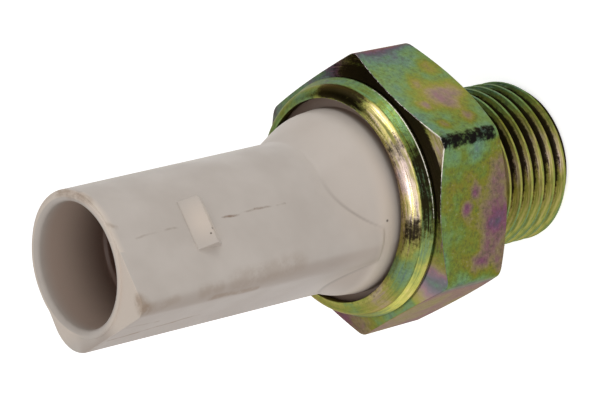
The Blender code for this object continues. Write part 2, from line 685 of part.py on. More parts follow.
def main():
    clear_scene()
    parts = make_collection("oil_pressure_sender")
    cutters = make_collection("cutters")
    zinc = make_material("yellow_zinc_steel", (0.42, 0.38, 0.2), 0.35, 1.0)
    plastic = make_material("grey_plastic", (0.48, 0.43, 0.39), 0.5, 0.0)
    rubber = make_material("black_rubber", (0.02, 0.02, 0.02), 0.8, 0.0)
    foil = make_material("polyimide_foil", (0.5, 0.22, 0.05), 0.3, 0.0)
    steel = make_material("plain_steel", (0.5, 0.5, 0.5), 0.35, 1.0)
    brass = make_material("brass", (0.7, 0.52, 0.22), 0.3, 1.0)
    silver = make_material("silver_contact", (0.8, 0.8, 0.78), 0.25, 1.0)
    pin_plastic = make_material("white_plastic", (0.75, 0.73, 0.68), 0.5, 0.0)
    build_body(parts, cutters, zinc)
    build_stack(parts, rubber, foil, steel, brass)
    build_contacts(parts, cutters, steel, pin_plastic, brass, silver)
    build_spring(parts, steel)
    build_terminal(parts, cutters, brass)
    build_housing(parts, cutters, plastic)


main()
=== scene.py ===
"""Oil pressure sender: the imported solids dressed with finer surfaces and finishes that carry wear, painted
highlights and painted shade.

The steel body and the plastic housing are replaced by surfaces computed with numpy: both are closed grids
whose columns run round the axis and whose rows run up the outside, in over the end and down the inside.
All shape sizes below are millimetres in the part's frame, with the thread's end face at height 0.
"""
import math
from types import SimpleNamespace

import bmesh
import bpy
import numpy as np
from mathutils import Euler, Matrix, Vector


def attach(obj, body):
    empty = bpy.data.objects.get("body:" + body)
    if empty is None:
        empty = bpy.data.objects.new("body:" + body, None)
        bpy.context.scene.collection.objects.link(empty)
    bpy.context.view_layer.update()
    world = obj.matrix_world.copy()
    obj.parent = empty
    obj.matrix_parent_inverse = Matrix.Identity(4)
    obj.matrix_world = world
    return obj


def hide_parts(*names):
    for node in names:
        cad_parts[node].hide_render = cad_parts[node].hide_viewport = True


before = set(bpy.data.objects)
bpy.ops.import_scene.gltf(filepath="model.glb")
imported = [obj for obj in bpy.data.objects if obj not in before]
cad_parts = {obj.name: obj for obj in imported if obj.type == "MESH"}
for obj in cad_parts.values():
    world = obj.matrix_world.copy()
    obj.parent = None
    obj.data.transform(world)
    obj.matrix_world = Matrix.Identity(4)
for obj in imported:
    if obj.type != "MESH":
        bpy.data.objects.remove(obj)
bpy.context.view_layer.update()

MM = 0.001
FIXED_BODY = "sender"
TURN = 2 * math.pi

# threaded spigot
THREAD_RADIUS = 8.0
THREAD_PITCH = 1.5
THREAD_DEPTH = 0.92
THREAD_CREST_HALF = 0.094
THREAD_FLANK_SLOPE = 1 / math.tan(math.radians(30))
THREAD_ROOT_BLEND = 0.12
THREAD_START = math.radians(120)
THREAD_TIP_CHAMFER = 0.95
THREAD_TOP_Z = 12.7
THREAD_RING_RADIUS = 8.1
SEAT_Z = 13.2
# shares of the pitch, from a crest's middle, at which the thread has a row on each side
THREAD_ROW_SHARES = (0.05, 0.066, 0.09, 0.14, 0.21, 0.28, 0.35, 0.40, 0.44)

# hexagon
HEX_APOTHEM = 12.0
HEX_CORNER_ROUND = 1.165
HEX_TURN = math.radians(-3.2)
HEX_FRONT_Z = 22.0
HEX_BACK_FACE_RADIUS = 11.8
HEX_FRONT_FACE_RADIUS = 11.65
HEX_FRONT_SLOPE = math.tan(math.radians(23))
HEX_BACK_SLOPE = math.tan(math.radians(29))

# neck, collar and rolled rim
NECK_RADIUS = 11.42
NECK_TOP_Z = 22.12
FOOT_RADIUS = 11.5
FOOT_TOP_Z = 22.3
RIM_SIDE_RADIUS = 11.05
ROLL_RADIUS = 1.18
LIP_RADIUS = 9.87
LIP_UNDER_Z = 23.55
LIP_TOP_Z = 24.41
LIP_BORDER = 0.6
LIP_BORDER_ANGLE = 30
LIP_BORDER_REACH = 95
ROLL_CENTRE_RADIUS = RIM_SIDE_RADIUS - ROLL_RADIUS
ROLL_END = math.acos((LIP_RADIUS - ROLL_CENTRE_RADIUS) / ROLL_RADIUS)
ROLL_CENTRE_Z = LIP_TOP_Z - ROLL_RADIUS * math.sin(ROLL_END)

# bores of the body
RIM_BORE_RADIUS = 10.45
RIM_BORE_Z = 19.7
STACK_BORE_RADIUS = 9.0
LEDGE_Z = 15.2
CHAMBER_RADIUS = 6.2
CHAMBER_Z = 14.2
ORIFICE_RADIUS = 0.8
ORIFICE_Z = 11.0
PORT_RADIUS = 2.0
PORT_Z = 10.28

# housing flange, base and cone
SKIRT_Z = 20.2
SKIRT_RADIUS = 8.7
FLANGE_Z = 21.2
FLANGE_RADIUS = 10.15
FLANGE_TOP_Z = 23.25
BASE_RADIUS = 8.85
BASE_TOP_Z = 26.15
FOOT_ROWS_Z = (23.7, 24.0, 24.3)
CONE_TOP_Z = 30.55
CONE_TOP_RADIUS = 6.6
CONE_BLEND = 0.5
RUNOUT_RADIUS = 9.3
RUNOUT_SLOPE_ABOVE = 1.0
RUNOUT_SLOPE_BELOW = 1.5
RUNOUT_BLEND = 0.25
SHROUD_BLEND = 0.06

# connector shroud and its socket
MOUTH_Z = 54.45
MOUTH_STEP = 0.2
SHROUD_ARC_RADIUS = 6.5
SHROUD_BASE_OFFSET = 7.28
SHROUD_BASE_LEAN = math.radians(2.5)
SHROUD_FLARE = math.radians(1.2)
SHROUD_DRAFT = math.tan(math.radians(0.45))
NUB_CORNER = 1.3
NUB_CORNER_GROWTH = 0.05
FAR_CORNER = 3.6
RING_RADIUS = 6.45
RING_BORDER = 0.06
RING_BLEND = 0.04
SOCKET_RADIUS = 5.7
SOCKET_INNER_RADIUS = 5.4
SOCKET_OFFSET = 0.3
SOCKET_LEAD_IN = 0.5
SHOULDER_Z = 46.85
SOCKET_FLOOR_Z = 38.05
SLOT_HALF = (2.7, 0.7)
CEILING_Z = 29.4
SPRING_ROOM_RADIUS = 3.6
CONTACT_ROOM_Z = 22.35
CONTACT_ROOM_RADIUS = 5.8

# latch nub on the +Y flat
NUB_X = (-1.4, 3.3)
NUB_BACK_Z = 43.8
NUB_PEAK_Z = 44.8
NUB_FRONT_Z = 46.45
NUB_PEAK = 0.95
NUB_FRONT = 0.12
NUB_FRONT_STEP = 0.04
NUB_SIDE_OUT = 0.06
NUB_SIDE_IN = 0.03

# rows that round each corner of a profile, and rows on the roll, the collar, the front chamfer and the sides
CORNER_ROWS = 4
HOUSING_CORNER_ROWS = 3
ROLL_ROWS = 22
COLLAR_ROWS = 8
CHAMFER_ROWS = 12
SIDE_ROWS = 26

# columns of the body: close ones within this many degrees of each hexagon corner, wider ones between
CORNER_REACH = 2.5
CORNER_COLUMNS = 10
SIDE_COLUMNS = 30

# rows up the housing's wall: first height, last height and number of each even run, and single rows at the
# nub's edges
WALL_RUNS = ((25.0, 31.6, 56), (32.4, 42.8, 12), (43.3, 43.3, 1), (44.0, 44.6, 4), (45.1, 46.2, 5),
             (47.0, 53.6, 10))
NUB_ROWS = (
    NUB_BACK_Z - 0.06, NUB_BACK_Z, NUB_BACK_Z + 0.06, NUB_PEAK_Z - 0.06, NUB_PEAK_Z, NUB_PEAK_Z + 0.06,
    NUB_FRONT_Z - 0.08, NUB_FRONT_Z, NUB_FRONT_Z + NUB_FRONT_STEP, NUB_FRONT_Z + 0.12)

# columns of the housing: start, end and step of each run in degrees, the least step between two columns, and
# places of the columns beside each side of the nub
COLUMN_RUNS = ((0, 360, 1.5), (34, 48, 0.4), (294, 340, 0.8))
COLUMN_LEAST_STEP = 0.08
NUB_COLUMN_STEPS = (-0.07, -0.02, 0.02, 0.07)

# camera, measured by a perspective fit of the photograph
CAMERA_PLACE = (0.05063, 0.17995, 0.18109)
CAMERA_TURN = (-15.602, 48.900, 53.686)
CAMERA_LENS = 156.0
CAMERA_AXES = np.array(Euler([math.radians(a) for a in CAMERA_TURN]).to_matrix())

# studio: the world's level for the light on the object, the floor's glow as the camera sees it, and in
# metres the object's middle and the point that the lights face
WORLD_LEVEL = 0.52
FLOOR_GLOW = 0.7
OBJECT_MIDDLE = np.array((0, 0, 0.027))
LIGHT_AIM = (0, 0, 0.028)


# shapes

def smooth_max(a, b, blend):
    """The larger of two values, with the change-over rounded: the mean plus half a softened difference."""
    return (a + b + np.sqrt((a - b) ** 2 + blend ** 2)) / 2


def smooth_min(a, b, blend):
    return -smooth_max(-a, -b, blend)


def smooth_step(low, high, value):
    """Rises from 0 at low to 1 at high with level ends."""
    t = np.clip((value - low) / (high - low), 0, 1)
    return t * t * (3 - 2 * t)


def near(value, middle, reach):
    """One at a middle value, falling smoothly to zero at its reach on both sides."""
    return smooth_step(reach, 0, np.abs(value - middle))


def rounded_rows(corners, radii, steps):
    """Rows of a profile whose corners are rounded, for all columns at once.

    corners is (corner, column, 2) in (r, z). Each corner becomes a quadratic curve that starts and ends on
    its two edges, at the given radius or at under half of the shorter edge away from it.
    """
    before = np.roll(corners, 1, axis=0) - corners
    after = np.roll(corners, -1, axis=0) - corners
    length_before = np.linalg.norm(before, axis=2, keepdims=True)
    length_after = np.linalg.norm(after, axis=2, keepdims=True)
    radius = np.asarray(radii, float).reshape(-1, 1, 1)
    reach = np.minimum(radius, 0.49 * np.minimum(length_before, length_after))
    start = corners + before / np.maximum(length_before, 1e-9) * reach
    end = corners + after / np.maximum(length_after, 1e-9) * reach
    rows = []
    for t in np.linspace(0, 1, steps):
        rows.append((1 - t) ** 2 * start + 2 * t * (1 - t) * corners + t ** 2 * end)
    return np.stack(rows, axis=1).reshape(-1, corners.shape[1], 2)


def profile_rows(profile, columns, steps):
    """Rows from a profile of (radius, z, rounding), whose radius and z are one number or one per column."""
    points = [np.stack(np.broadcast_arrays(radius, z, np.ones(columns))[:2], axis=1)
              for radius, z, rounding in profile]
    return rounded_rows(np.stack(points), [rounding for radius, z, rounding in profile], steps)


def add_object(name, data):
    obj = bpy.data.objects.new(name, data)
    bpy.context.scene.collection.objects.link(obj)
    return obj


def ring_grid(name, angles, rows, places=None):
    """A closed surface from rows of (r, z) round the axis: x = r cos a, y = r sin a, and the last row joins
    the first. Columns at both ends of the turn coincide, and points that coincide are merged."""
    radius = rows[:, :, 0]
    points = np.stack([radius * np.cos(angles), radius * np.sin(angles), rows[:, :, 1]], axis=2)
    if places is not None:
        points = places(points)
    count, columns = radius.shape
    index = np.arange(count * columns).reshape(count, columns)
    upper = np.roll(index, -1, axis=0)
    quads = np.stack([index[:, :-1], index[:, 1:], upper[:, 1:], upper[:, :-1]], axis=2).reshape(-1, 4)
    mesh = bpy.data.meshes.new(name)
    mesh.from_pydata((points.reshape(-1, 3) * MM).tolist(), [], quads.tolist())
    bm = bmesh.new()
    bm.from_mesh(mesh)
    bmesh.ops.remove_doubles(bm, verts=bm.verts, dist=1e-7)
    bmesh.ops.dissolve_degenerate(bm, edges=bm.edges, dist=1e-7)
    bm.to_mesh(mesh)
    bm.free()
    mesh.shade_smooth()
    mesh.set_sharp_from_angle(angle=math.radians(50))
    return add_object(name, mesh)


def attribute(obj, name, values):
    layer = obj.data.attributes.new(name, "FLOAT", "POINT")
    layer.data.foreach_set("value", np.ascontiguousarray(values, dtype=np.float32))


def vertex_places(obj):
    """The piece's vertices in millimetres, as an array."""
    flat = np.empty(len(obj.data.vertices) * 3, dtype=np.float32)
    obj.data.vertices.foreach_get("co", flat)
    return flat.reshape(-1, 3) / MM


def hexagon_radius(angles):
    """Distance from the axis to the hexagon's side: the apothem over the cosine of the angle from the side's
    middle, and a circle of the corner's radius near each corner."""
    sector = np.mod(angles - HEX_TURN - math.pi / 2, math.pi / 3)
    off_middle = math.pi / 6 - np.abs(sector - math.pi / 6)
    side = HEX_APOTHEM / np.cos(math.pi / 6 - off_middle)
    centre = (HEX_APOTHEM - HEX_CORNER_ROUND) / math.cos(math.pi / 6)
    off_corner = np.abs(off_middle)
    under = np.maximum(HEX_CORNER_ROUND ** 2 - (centre * np.sin(off_corner)) ** 2, 0)
    corner = centre * np.cos(off_corner) + np.sqrt(under)
    tangent = math.atan2(HEX_CORNER_ROUND * math.sin(math.pi / 6),
                         centre + HEX_CORNER_ROUND * math.cos(math.pi / 6))
    return np.where(off_corner < tangent, corner, side)


def body_angles():
    """Columns round the body: even steps along each hexagon side and close ones at its corners."""
    close = np.radians(np.linspace(-CORNER_REACH, CORNER_REACH, CORNER_COLUMNS, endpoint=False))
    wide = np.radians(np.linspace(CORNER_REACH, 60 - CORNER_REACH, SIDE_COLUMNS, endpoint=False))
    sector = np.concatenate([close, wide])
    turns = HEX_TURN + math.pi / 2 + np.arange(6)[:, None] * math.pi / 3 + sector[None, :]
    turns = turns.reshape(-1)
    return np.append(turns, turns[0] + TURN)


def thread_rows(angles):
    """A 60 degree thread: the radius falls from the crest by 1.73 times the axial distance from its edge,
    down to a rounded root. Rows follow the helix, so each row climbs one pitch a turn, and they are cut
    level at both ends. The chamfer at the tip is a 45 degree cone."""
    half = np.array(THREAD_ROW_SHARES)
    u = np.concatenate([[-0.5], -half[::-1], [0.0], half])
    turns = math.ceil(THREAD_TOP_Z / THREAD_PITCH) + 2
    axial = ((np.arange(turns)[:, None] - 1 + u[None, :]) * THREAD_PITCH).reshape(-1)
    climb = THREAD_PITCH * (angles - THREAD_START) / TURN
    z = np.clip(axial[:, None] + climb[None, :], 0, THREAD_TOP_Z)
    phase = np.mod((z - climb[None, :]) / THREAD_PITCH + 0.5, 1) - 0.5
    drop = np.clip((np.abs(phase) * THREAD_PITCH - THREAD_CREST_HALF) * THREAD_FLANK_SLOPE, 0, None)
    drop = np.maximum(smooth_min(drop, THREAD_DEPTH, THREAD_ROOT_BLEND), 0)
    radius = np.minimum(THREAD_RADIUS - drop, THREAD_RADIUS - THREAD_TIP_CHAMFER + z)
    return np.stack([radius, z], axis=2)


def fill_rows(rows, after, count):
    """Adds even rows between one row and the next."""
    share = np.linspace(0, 1, count + 2)[1:-1, None, None]
    between = rows[after] + (rows[after + 1] - rows[after]) * share
    return np.concatenate([rows[:after + 1], between, rows[after + 1:]])


def build_body():
    """The steel body: thread, hexagon with both chamfers, neck, sloping collar, rolled rim and all bores."""
    angles = body_angles()
    side = hexagon_radius(angles)
    hexagon = [
        (THREAD_RING_RADIUS, THREAD_TOP_Z, 0.05), (THREAD_RING_RADIUS, SEAT_Z, 0.05),
        (HEX_BACK_FACE_RADIUS, SEAT_Z, 0.15),
        (side, SEAT_Z + (side - HEX_BACK_FACE_RADIUS) * HEX_BACK_SLOPE, 0.12),
        (side, HEX_FRONT_Z - (side - HEX_FRONT_FACE_RADIUS) * HEX_FRONT_SLOPE, 0.10),
        (HEX_FRONT_FACE_RADIUS, HEX_FRONT_Z, 0.05),
        (NECK_RADIUS, HEX_FRONT_Z, 0.06), (NECK_RADIUS, NECK_TOP_Z, 0.06),
        (FOOT_RADIUS, NECK_TOP_Z, 0.05), (FOOT_RADIUS, FOOT_TOP_Z, 0.06)]
    roll = [(ROLL_CENTRE_RADIUS + ROLL_RADIUS * math.cos(a), ROLL_CENTRE_Z + ROLL_RADIUS * math.sin(a), 0.0)
            for a in np.linspace(0, ROLL_END, ROLL_ROWS)]
    signed = np.degrees(np.arctan2(np.sin(angles), np.cos(angles)))
    lip = LIP_RADIUS - LIP_BORDER * near(signed, LIP_BORDER_ANGLE, LIP_BORDER_REACH)
    bores = [
        (lip, LIP_TOP_Z, 0.05), (lip, LIP_UNDER_Z, 0.1),
        (RIM_BORE_RADIUS, LIP_UNDER_Z, 0.1), (RIM_BORE_RADIUS, RIM_BORE_Z, 0.1),
        (STACK_BORE_RADIUS, RIM_BORE_Z, 0.1), (STACK_BORE_RADIUS, LEDGE_Z, 0.1),
        (CHAMBER_RADIUS, LEDGE_Z, 0.1), (CHAMBER_RADIUS, CHAMBER_Z, 0.1),
        (ORIFICE_RADIUS, CHAMBER_Z, 0.1), (ORIFICE_RADIUS, ORIFICE_Z, 0.1),
        (PORT_RADIUS, PORT_Z, 0.1), (PORT_RADIUS, 0, 0.25)]
    rows = profile_rows(hexagon + roll + bores, len(angles), CORNER_ROWS)
    side_front, front_face, roll_start = 4, 5, len(hexagon)
    for corner, count in ((roll_start, COLLAR_ROWS), (front_face, CHAMFER_ROWS), (side_front, SIDE_ROWS)):
        rows = fill_rows(rows, corner * CORNER_ROWS - 1, count)
    return ring_grid("plated_body", angles, np.concatenate([thread_rows(angles), rows]))


def shroud_radius(angles, z):
    """Distance from the axis to the shroud's outline at a height: an arc on -X, two flats that lean out, a
    base that leans a little and a rounded corner on each side of it. Each side is a straight line at its own
    distance from the axis, and a corner's centre lies one rounding inside both of its lines. The corner on
    the nub's side is rounder towards the flange."""
    grow = (MOUTH_Z - z) * SHROUD_DRAFT
    arc = SHROUD_ARC_RADIUS + grow
    base = SHROUD_BASE_OFFSET + grow
    cos, sin = np.cos(angles), np.sin(angles)
    signed = np.arctan2(sin, cos)
    flare_cos, flare_sin = math.cos(SHROUD_FLARE), math.sin(SHROUD_FLARE)
    lean_cos, lean_sin = math.cos(SHROUD_BASE_LEAN), math.sin(SHROUD_BASE_LEAN)
    flat = arc / np.maximum(flare_cos * np.abs(sin) - flare_sin * cos, 1e-3)
    end = base / np.maximum(lean_cos * cos - lean_sin * sin, 1e-3)
    radius = np.where(np.abs(signed) > math.pi / 2 + SHROUD_FLARE, arc, np.minimum(flat, end))
    for sign, rounding in ((1, NUB_CORNER + (MOUTH_Z - z) * NUB_CORNER_GROWTH), (-1, FAR_CORNER)):
        area = sign * lean_cos * flare_cos - lean_sin * flare_sin
        x = ((base - rounding) * sign * flare_cos + lean_sin * (arc - rounding)) / area
        y = (lean_cos * (arc - rounding) + flare_sin * (base - rounding)) / area
        along = x * cos + y * sin
        arc_radius = along + np.sqrt(np.maximum(rounding ** 2 - x ** 2 - y ** 2 + along ** 2, 0))
        at_base = np.arctan2(y - rounding * lean_sin, x + rounding * lean_cos)
        at_flat = np.arctan2(y + sign * rounding * flare_cos, x - rounding * flare_sin)
        inside = (sign * signed > sign * at_base) & (sign * signed < sign * at_flat)
        radius = np.where(inside, arc_radius, radius)
    return radius


def cone_radius(z):
    """Radius of the turned base and of the cone above it, with the change-over rounded."""
    slope = (BASE_RADIUS - CONE_TOP_RADIUS) / (CONE_TOP_Z - BASE_TOP_Z)
    return smooth_min(BASE_RADIUS, BASE_RADIUS - (z - BASE_TOP_Z) * slope, CONE_BLEND)


def housing_radius(angles, z):
    """Outer radius of the housing above its flange: the larger of the turned base with its cone and the
    shroud, whose corners are first cut by a 45 degree cone, steeper beside the base, and so end there."""
    slope = np.where(z > BASE_TOP_Z, RUNOUT_SLOPE_ABOVE, RUNOUT_SLOPE_BELOW)
    envelope = RUNOUT_RADIUS + (z - BASE_TOP_Z) * slope
    shroud = smooth_min(shroud_radius(angles, z), envelope, RUNOUT_BLEND)
    return smooth_max(cone_radius(z), shroud, SHROUD_BLEND)


def circle_radius(angles, radius):
    """Distance from the axis to a circle whose centre lies off the axis, at the socket's offset along +X."""
    return SOCKET_OFFSET * np.cos(angles) + np.sqrt(radius ** 2 - (SOCKET_OFFSET * np.sin(angles)) ** 2)


def housing_angles():
    """Columns round the housing in degrees, given back in radians: even ones, close ones at the two corners
    of the base side, pairs at the nub's sides and one at each corner of the blade's slot."""
    runs = [np.arange(*run) for run in COLUMN_RUNS]
    flat_y = SHROUD_ARC_RADIUS + (MOUTH_Z - NUB_PEAK_Z) * SHROUD_DRAFT
    nub = [math.degrees(math.atan2(flat_y, x + step)) for x in NUB_X for step in NUB_COLUMN_STEPS]
    corner = math.degrees(math.atan2(SLOT_HALF[1], SLOT_HALF[0]))
    slot = [corner, 180 - corner, 180 + corner, 360 - corner]
    angles = np.sort(np.concatenate([*runs, nub, slot]))
    angles = angles[np.append(True, np.diff(angles) > COLUMN_LEAST_STEP)]
    return np.radians(np.append(angles, 360.0))


def raise_nub(points):
    """Lifts the +Y flat into the latch nub: a ramp along the height between the front and the peak, a short
    slope behind it, and a side wall of under a tenth of a millimetre at both ends."""
    x, y, z = points[:, :, 0], points[:, :, 1], points[:, :, 2]
    along = np.interp(z, [NUB_BACK_Z, NUB_PEAK_Z, NUB_FRONT_Z, NUB_FRONT_Z + NUB_FRONT_STEP],
                      [0.0, NUB_PEAK, NUB_FRONT, 0.0])
    across = smooth_step(NUB_X[0] - NUB_SIDE_OUT, NUB_X[0] + NUB_SIDE_IN, x)
    across = across * smooth_step(NUB_X[1] + NUB_SIDE_OUT, NUB_X[1] - NUB_SIDE_IN, x)
    outside = (y > SOCKET_RADIUS + 0.5)
    lifted = points.copy()
    lifted[:, :, 1] = y + along * across * outside
    return lifted


def build_housing():
    """The plastic housing as one closed grid: from the skirt up the outside, then down through the socket,
    the blade's slot and the rooms for the spring and the contact. Rows lie close together where the shroud's
    corners run out into the cone, and in pairs at the nub's edges."""
    angles = housing_angles()
    foot = [(SKIRT_RADIUS, SKIRT_Z, 0.2), (SKIRT_RADIUS, FLANGE_Z, 0.1), (FLANGE_RADIUS, FLANGE_Z, 0.1),
            (FLANGE_RADIUS, FLANGE_TOP_Z, 0.2), (BASE_RADIUS, FLANGE_TOP_Z, 0.1)]
    foot = foot + [(BASE_RADIUS, z, 0.0) for z in FOOT_ROWS_Z]
    heights = np.sort(np.concatenate([NUB_ROWS, *[np.linspace(*run) for run in WALL_RUNS]]))
    wall = [(housing_radius(angles, z), z, 0.0) for z in heights]

    step_z = MOUTH_Z - MOUTH_STEP
    rim = shroud_radius(angles, step_z)
    ring = smooth_min(circle_radius(angles, RING_RADIUS), rim - RING_BORDER, RING_BLEND)
    end = [(rim, step_z, 0.16), (ring + 0.03, step_z, 0.04), (ring, MOUTH_Z, 0.10)]
    lead = []
    for a in np.linspace(math.pi / 2, math.pi, 7):
        radius = circle_radius(angles, SOCKET_RADIUS + SOCKET_LEAD_IN * (1 + math.cos(a)))
        z = MOUTH_Z - SOCKET_LEAD_IN * (1 - math.sin(a))
        lead.append((np.minimum(radius, ring - RING_BORDER), z, 0.0))
    bore = circle_radius(angles, SOCKET_RADIUS)
    inner = circle_radius(angles, SOCKET_INNER_RADIUS)
    slot = 1 / np.maximum(np.abs(np.cos(angles)) / SLOT_HALF[0], np.abs(np.sin(angles)) / SLOT_HALF[1])
    inside = [(bore, z, 0.0) for z in np.linspace(MOUTH_Z - 1.0, SHOULDER_Z + 0.8, 10)]
    inside = inside + [
        (bore, SHOULDER_Z + 0.3, 0.1), (inner, SHOULDER_Z, 0.1),
        (inner, SOCKET_FLOOR_Z, 0.4), (slot, SOCKET_FLOOR_Z, 0.05), (slot, CEILING_Z, 0.0),
        (SPRING_ROOM_RADIUS, CEILING_Z, 0.1), (SPRING_ROOM_RADIUS, CONTACT_ROOM_Z, 0.1),
        (CONTACT_ROOM_RADIUS, CONTACT_ROOM_Z, 0.1), (CONTACT_ROOM_RADIUS, SKIRT_Z, 0.1)]
    rows = profile_rows(foot + wall + end + lead + inside, len(angles), HOUSING_CORNER_ROWS)
    return ring_grid("moulded_housing", angles, rows, raise_nub)


# materials

def shader_of(name):
    material = bpy.data.materials.new(name)
    material.use_nodes = True
    tree = material.node_tree
    return material, tree, tree.nodes["Principled BSDF"]


def node(tree, kind, inputs=None, **settings):
    """Adds a node, with its settings, and links or sets the inputs that are named or numbered."""
    made = tree.nodes.new(kind)
    for key, value in settings.items():
        setattr(made, key, value)
    for key, value in (inputs or {}).items():
        if isinstance(value, bpy.types.NodeSocket):
            tree.links.new(value, made.inputs[key])
        else:
            made.inputs[key].default_value = value
    return made


def object_place(tree):
    return node(tree, "ShaderNodeTexCoord").outputs["Object"]


def noise(tree, place, scale, detail=3.0, roughness=0.55):
    made = node(tree, "ShaderNodeTexNoise", {"Vector": place, "Scale": scale, "Detail": detail,
                                             "Roughness": roughness})
    return made.outputs["Fac"]


def maths(tree, operation, a, b=0.0, c=0.0):
    return node(tree, "ShaderNodeMath", {0: a, 1: b, 2: c}, operation=operation).outputs[0]


def vector_maths(tree, operation, inputs):
    return node(tree, "ShaderNodeVectorMath", inputs, operation=operation)


def centred(tree, value, size):
    """A noise value, whose mean is a half, scaled by a size and made to swing about zero."""
    return maths(tree, "MULTIPLY_ADD", value, size, -size / 2)


def span(tree, value, low, high, start=0.0, end=1.0):
    inputs = {"Value": value, "From Min": low, "From Max": high, "To Min": start, "To Max": end}
    return node(tree, "ShaderNodeMapRange", inputs, interpolation_type="SMOOTHSTEP").outputs[0]


def ramp(tree, value, stops):
    made = node(tree, "ShaderNodeValToRGB", {"Fac": value})
    elements = made.color_ramp.elements
    elements[0].position, elements[0].color = stops[0][0], (*stops[0][1], 1.0)
    elements[1].position, elements[1].color = stops[-1][0], (*stops[-1][1], 1.0)
    for position, colour in stops[1:-1]:
        elements.new(position).color = (*colour, 1.0)
    return made.outputs["Color"]


def mix(tree, factor, a, b):
    made = node(tree, "ShaderNodeMix", {"Factor": factor}, data_type="RGBA")
    for key, value in ((6, a), (7, b)):
        if isinstance(value, bpy.types.NodeSocket):
            tree.links.new(value, made.inputs[key])
        else:
            made.inputs[key].default_value = (*value, 1.0)
    return made.outputs[2]


def bump(tree, shader, height, strength, depth):
    """Bumps the shader's normal by a height between 0 and 1 times a depth in millimetres."""
    made = node(tree, "ShaderNodeBump", {"Height": height, "Strength": strength, "Distance": depth * MM})
    tree.links.new(made.outputs["Normal"], shader.inputs["Normal"])


def attribute_of(tree, name):
    return node(tree, "ShaderNodeAttribute", attribute_name=name).outputs["Fac"]


def plain_metal(name, colour, dark, roughness, grain_scale):
    """Bare sheet or turned metal: two close colours mixed by noise, with a fine grain."""
    material, tree, shader = shader_of(name)
    place = object_place(tree)
    cloud = noise(tree, place, 600)
    grain = noise(tree, place, grain_scale, detail=2.0)
    tree.links.new(mix(tree, span(tree, cloud, 0.35, 0.7), dark, colour), shader.inputs["Base Color"])
    rough = span(tree, cloud, 0.3, 0.7, roughness + 0.1, roughness - 0.05)
    tree.links.new(rough, shader.inputs["Roughness"])
    shader.inputs["Metallic"].default_value = 1.0
    bump(tree, shader, grain, 0.2, 0.02)
    return material


def plain_polymer(name, colour, dark, roughness):
    """Rubber, foil or moulded plastic out of sight: two close colours mixed by noise, with a fine grain."""
    material, tree, shader = shader_of(name)
    place = object_place(tree)
    cloud = noise(tree, place, 500)
    grain = noise(tree, place, 4000, detail=2.0)
    tree.links.new(mix(tree, span(tree, cloud, 0.3, 0.7), dark, colour), shader.inputs["Base Color"])
    shader.inputs["Roughness"].default_value = roughness
    bump(tree, shader, grain, 0.2, 0.02)
    return material


# the film's hue over one order of interference, on a matt face and, as painted highlight, on a polished one
FILM_COLOURS = [
    (0.00, (0.105, 0.195, 0.122)),
    (0.12, (0.125, 0.215, 0.080)),
    (0.25, (0.122, 0.165, 0.030)),
    (0.36, (0.155, 0.150, 0.022)),
    (0.46, (0.185, 0.148, 0.066)),
    (0.56, (0.170, 0.106, 0.090)),
    (0.66, (0.155, 0.060, 0.100)),
    (0.76, (0.108, 0.066, 0.108)),
    (0.86, (0.074, 0.078, 0.100)),
    (0.94, (0.098, 0.150, 0.132)),
    (1.00, (0.105, 0.195, 0.122))]
POLISHED_HIGHLIGHT_COLOURS = [
    (0.00, (0.26, 0.36, 0.24)),
    (0.15, (0.34, 0.42, 0.14)),
    (0.28, (0.66, 0.64, 0.16)),
    (0.42, (0.82, 0.70, 0.26)),
    (0.55, (0.84, 0.68, 0.50)),
    (0.66, (0.86, 0.66, 0.60)),
    (0.80, (0.60, 0.55, 0.55)),
    (1.00, (0.26, 0.36, 0.24))]
DULL_COLOUR = (0.050, 0.050, 0.034)
PALE_FILM_COLOUR = (0.40, 0.38, 0.31)
TURNED_LINE_COLOUR = (0.10, 0.085, 0.035)
# darkening colour for grime, painted shade and painted dark reflections
SHADE_AND_GRIME_COLOUR = (0.012, 0.008, 0.004)
INK_COLOUR = (0.006, 0.006, 0.006)
# colour for wear and painted edge highlights
WEAR_AND_HIGHLIGHT_COLOUR = (0.62, 0.58, 0.50)
METAL_TINT = (0.72, 0.62, 0.50, 1.0)

# the marker stripe, in millimetres: half its width and the heights over which its ends fade
STRIPE_HALF_WIDTH = 1.16
STRIPE_LOW_END = (14.2, 14.6)
STRIPE_HIGH_END = (21.4, 21.15)

# fine turned lines: how fast their noise changes across the axis, and along the stored turned profile
LINE_RATE_ACROSS = 260.0
LINE_RATE_ALONG = 5.5

# patches of other film thickness on the hexagon: angle round the axis, height, reach in both, shift
FILM_PATCHES = [
    (111, 16.3, 12, 2.3, 0.52), (122, 18.0, 5, 1.0, 0.38), (107, 19.3, 4, 0.9, 0.40),
    (95, 19.3, 3.0, 0.8, 0.44), (97, 16.0, 5, 1.2, 0.36), (130, 15.0, 6, 1.2, 0.36),
    (74, 14.2, 10, 1.6, 0.40), (80, 17.2, 4, 1.0, -0.20), (46, 14.6, 20, 3.0, 0.46),
    (60, 14.0, 10, 1.0, 0.40), (33, 17.0, 6, 2.2, 0.44), (58, 18.5, 4, 0.9, 0.50), (64, 17.4, 4, 0.8, 0.44)]

# areas of painted highlight, with the polished colours: zone of the body, angle of the middle, reach and
# amount
HIGHLIGHT_AREAS = (("chamfer", 8, 48, 0.30), ("plain_side", 118, 34, 0.13), ("flank", 8, 70, 0.75),
               ("chamfer", 185, 40, 0.22), ("flank", 185, 40, 0.22))

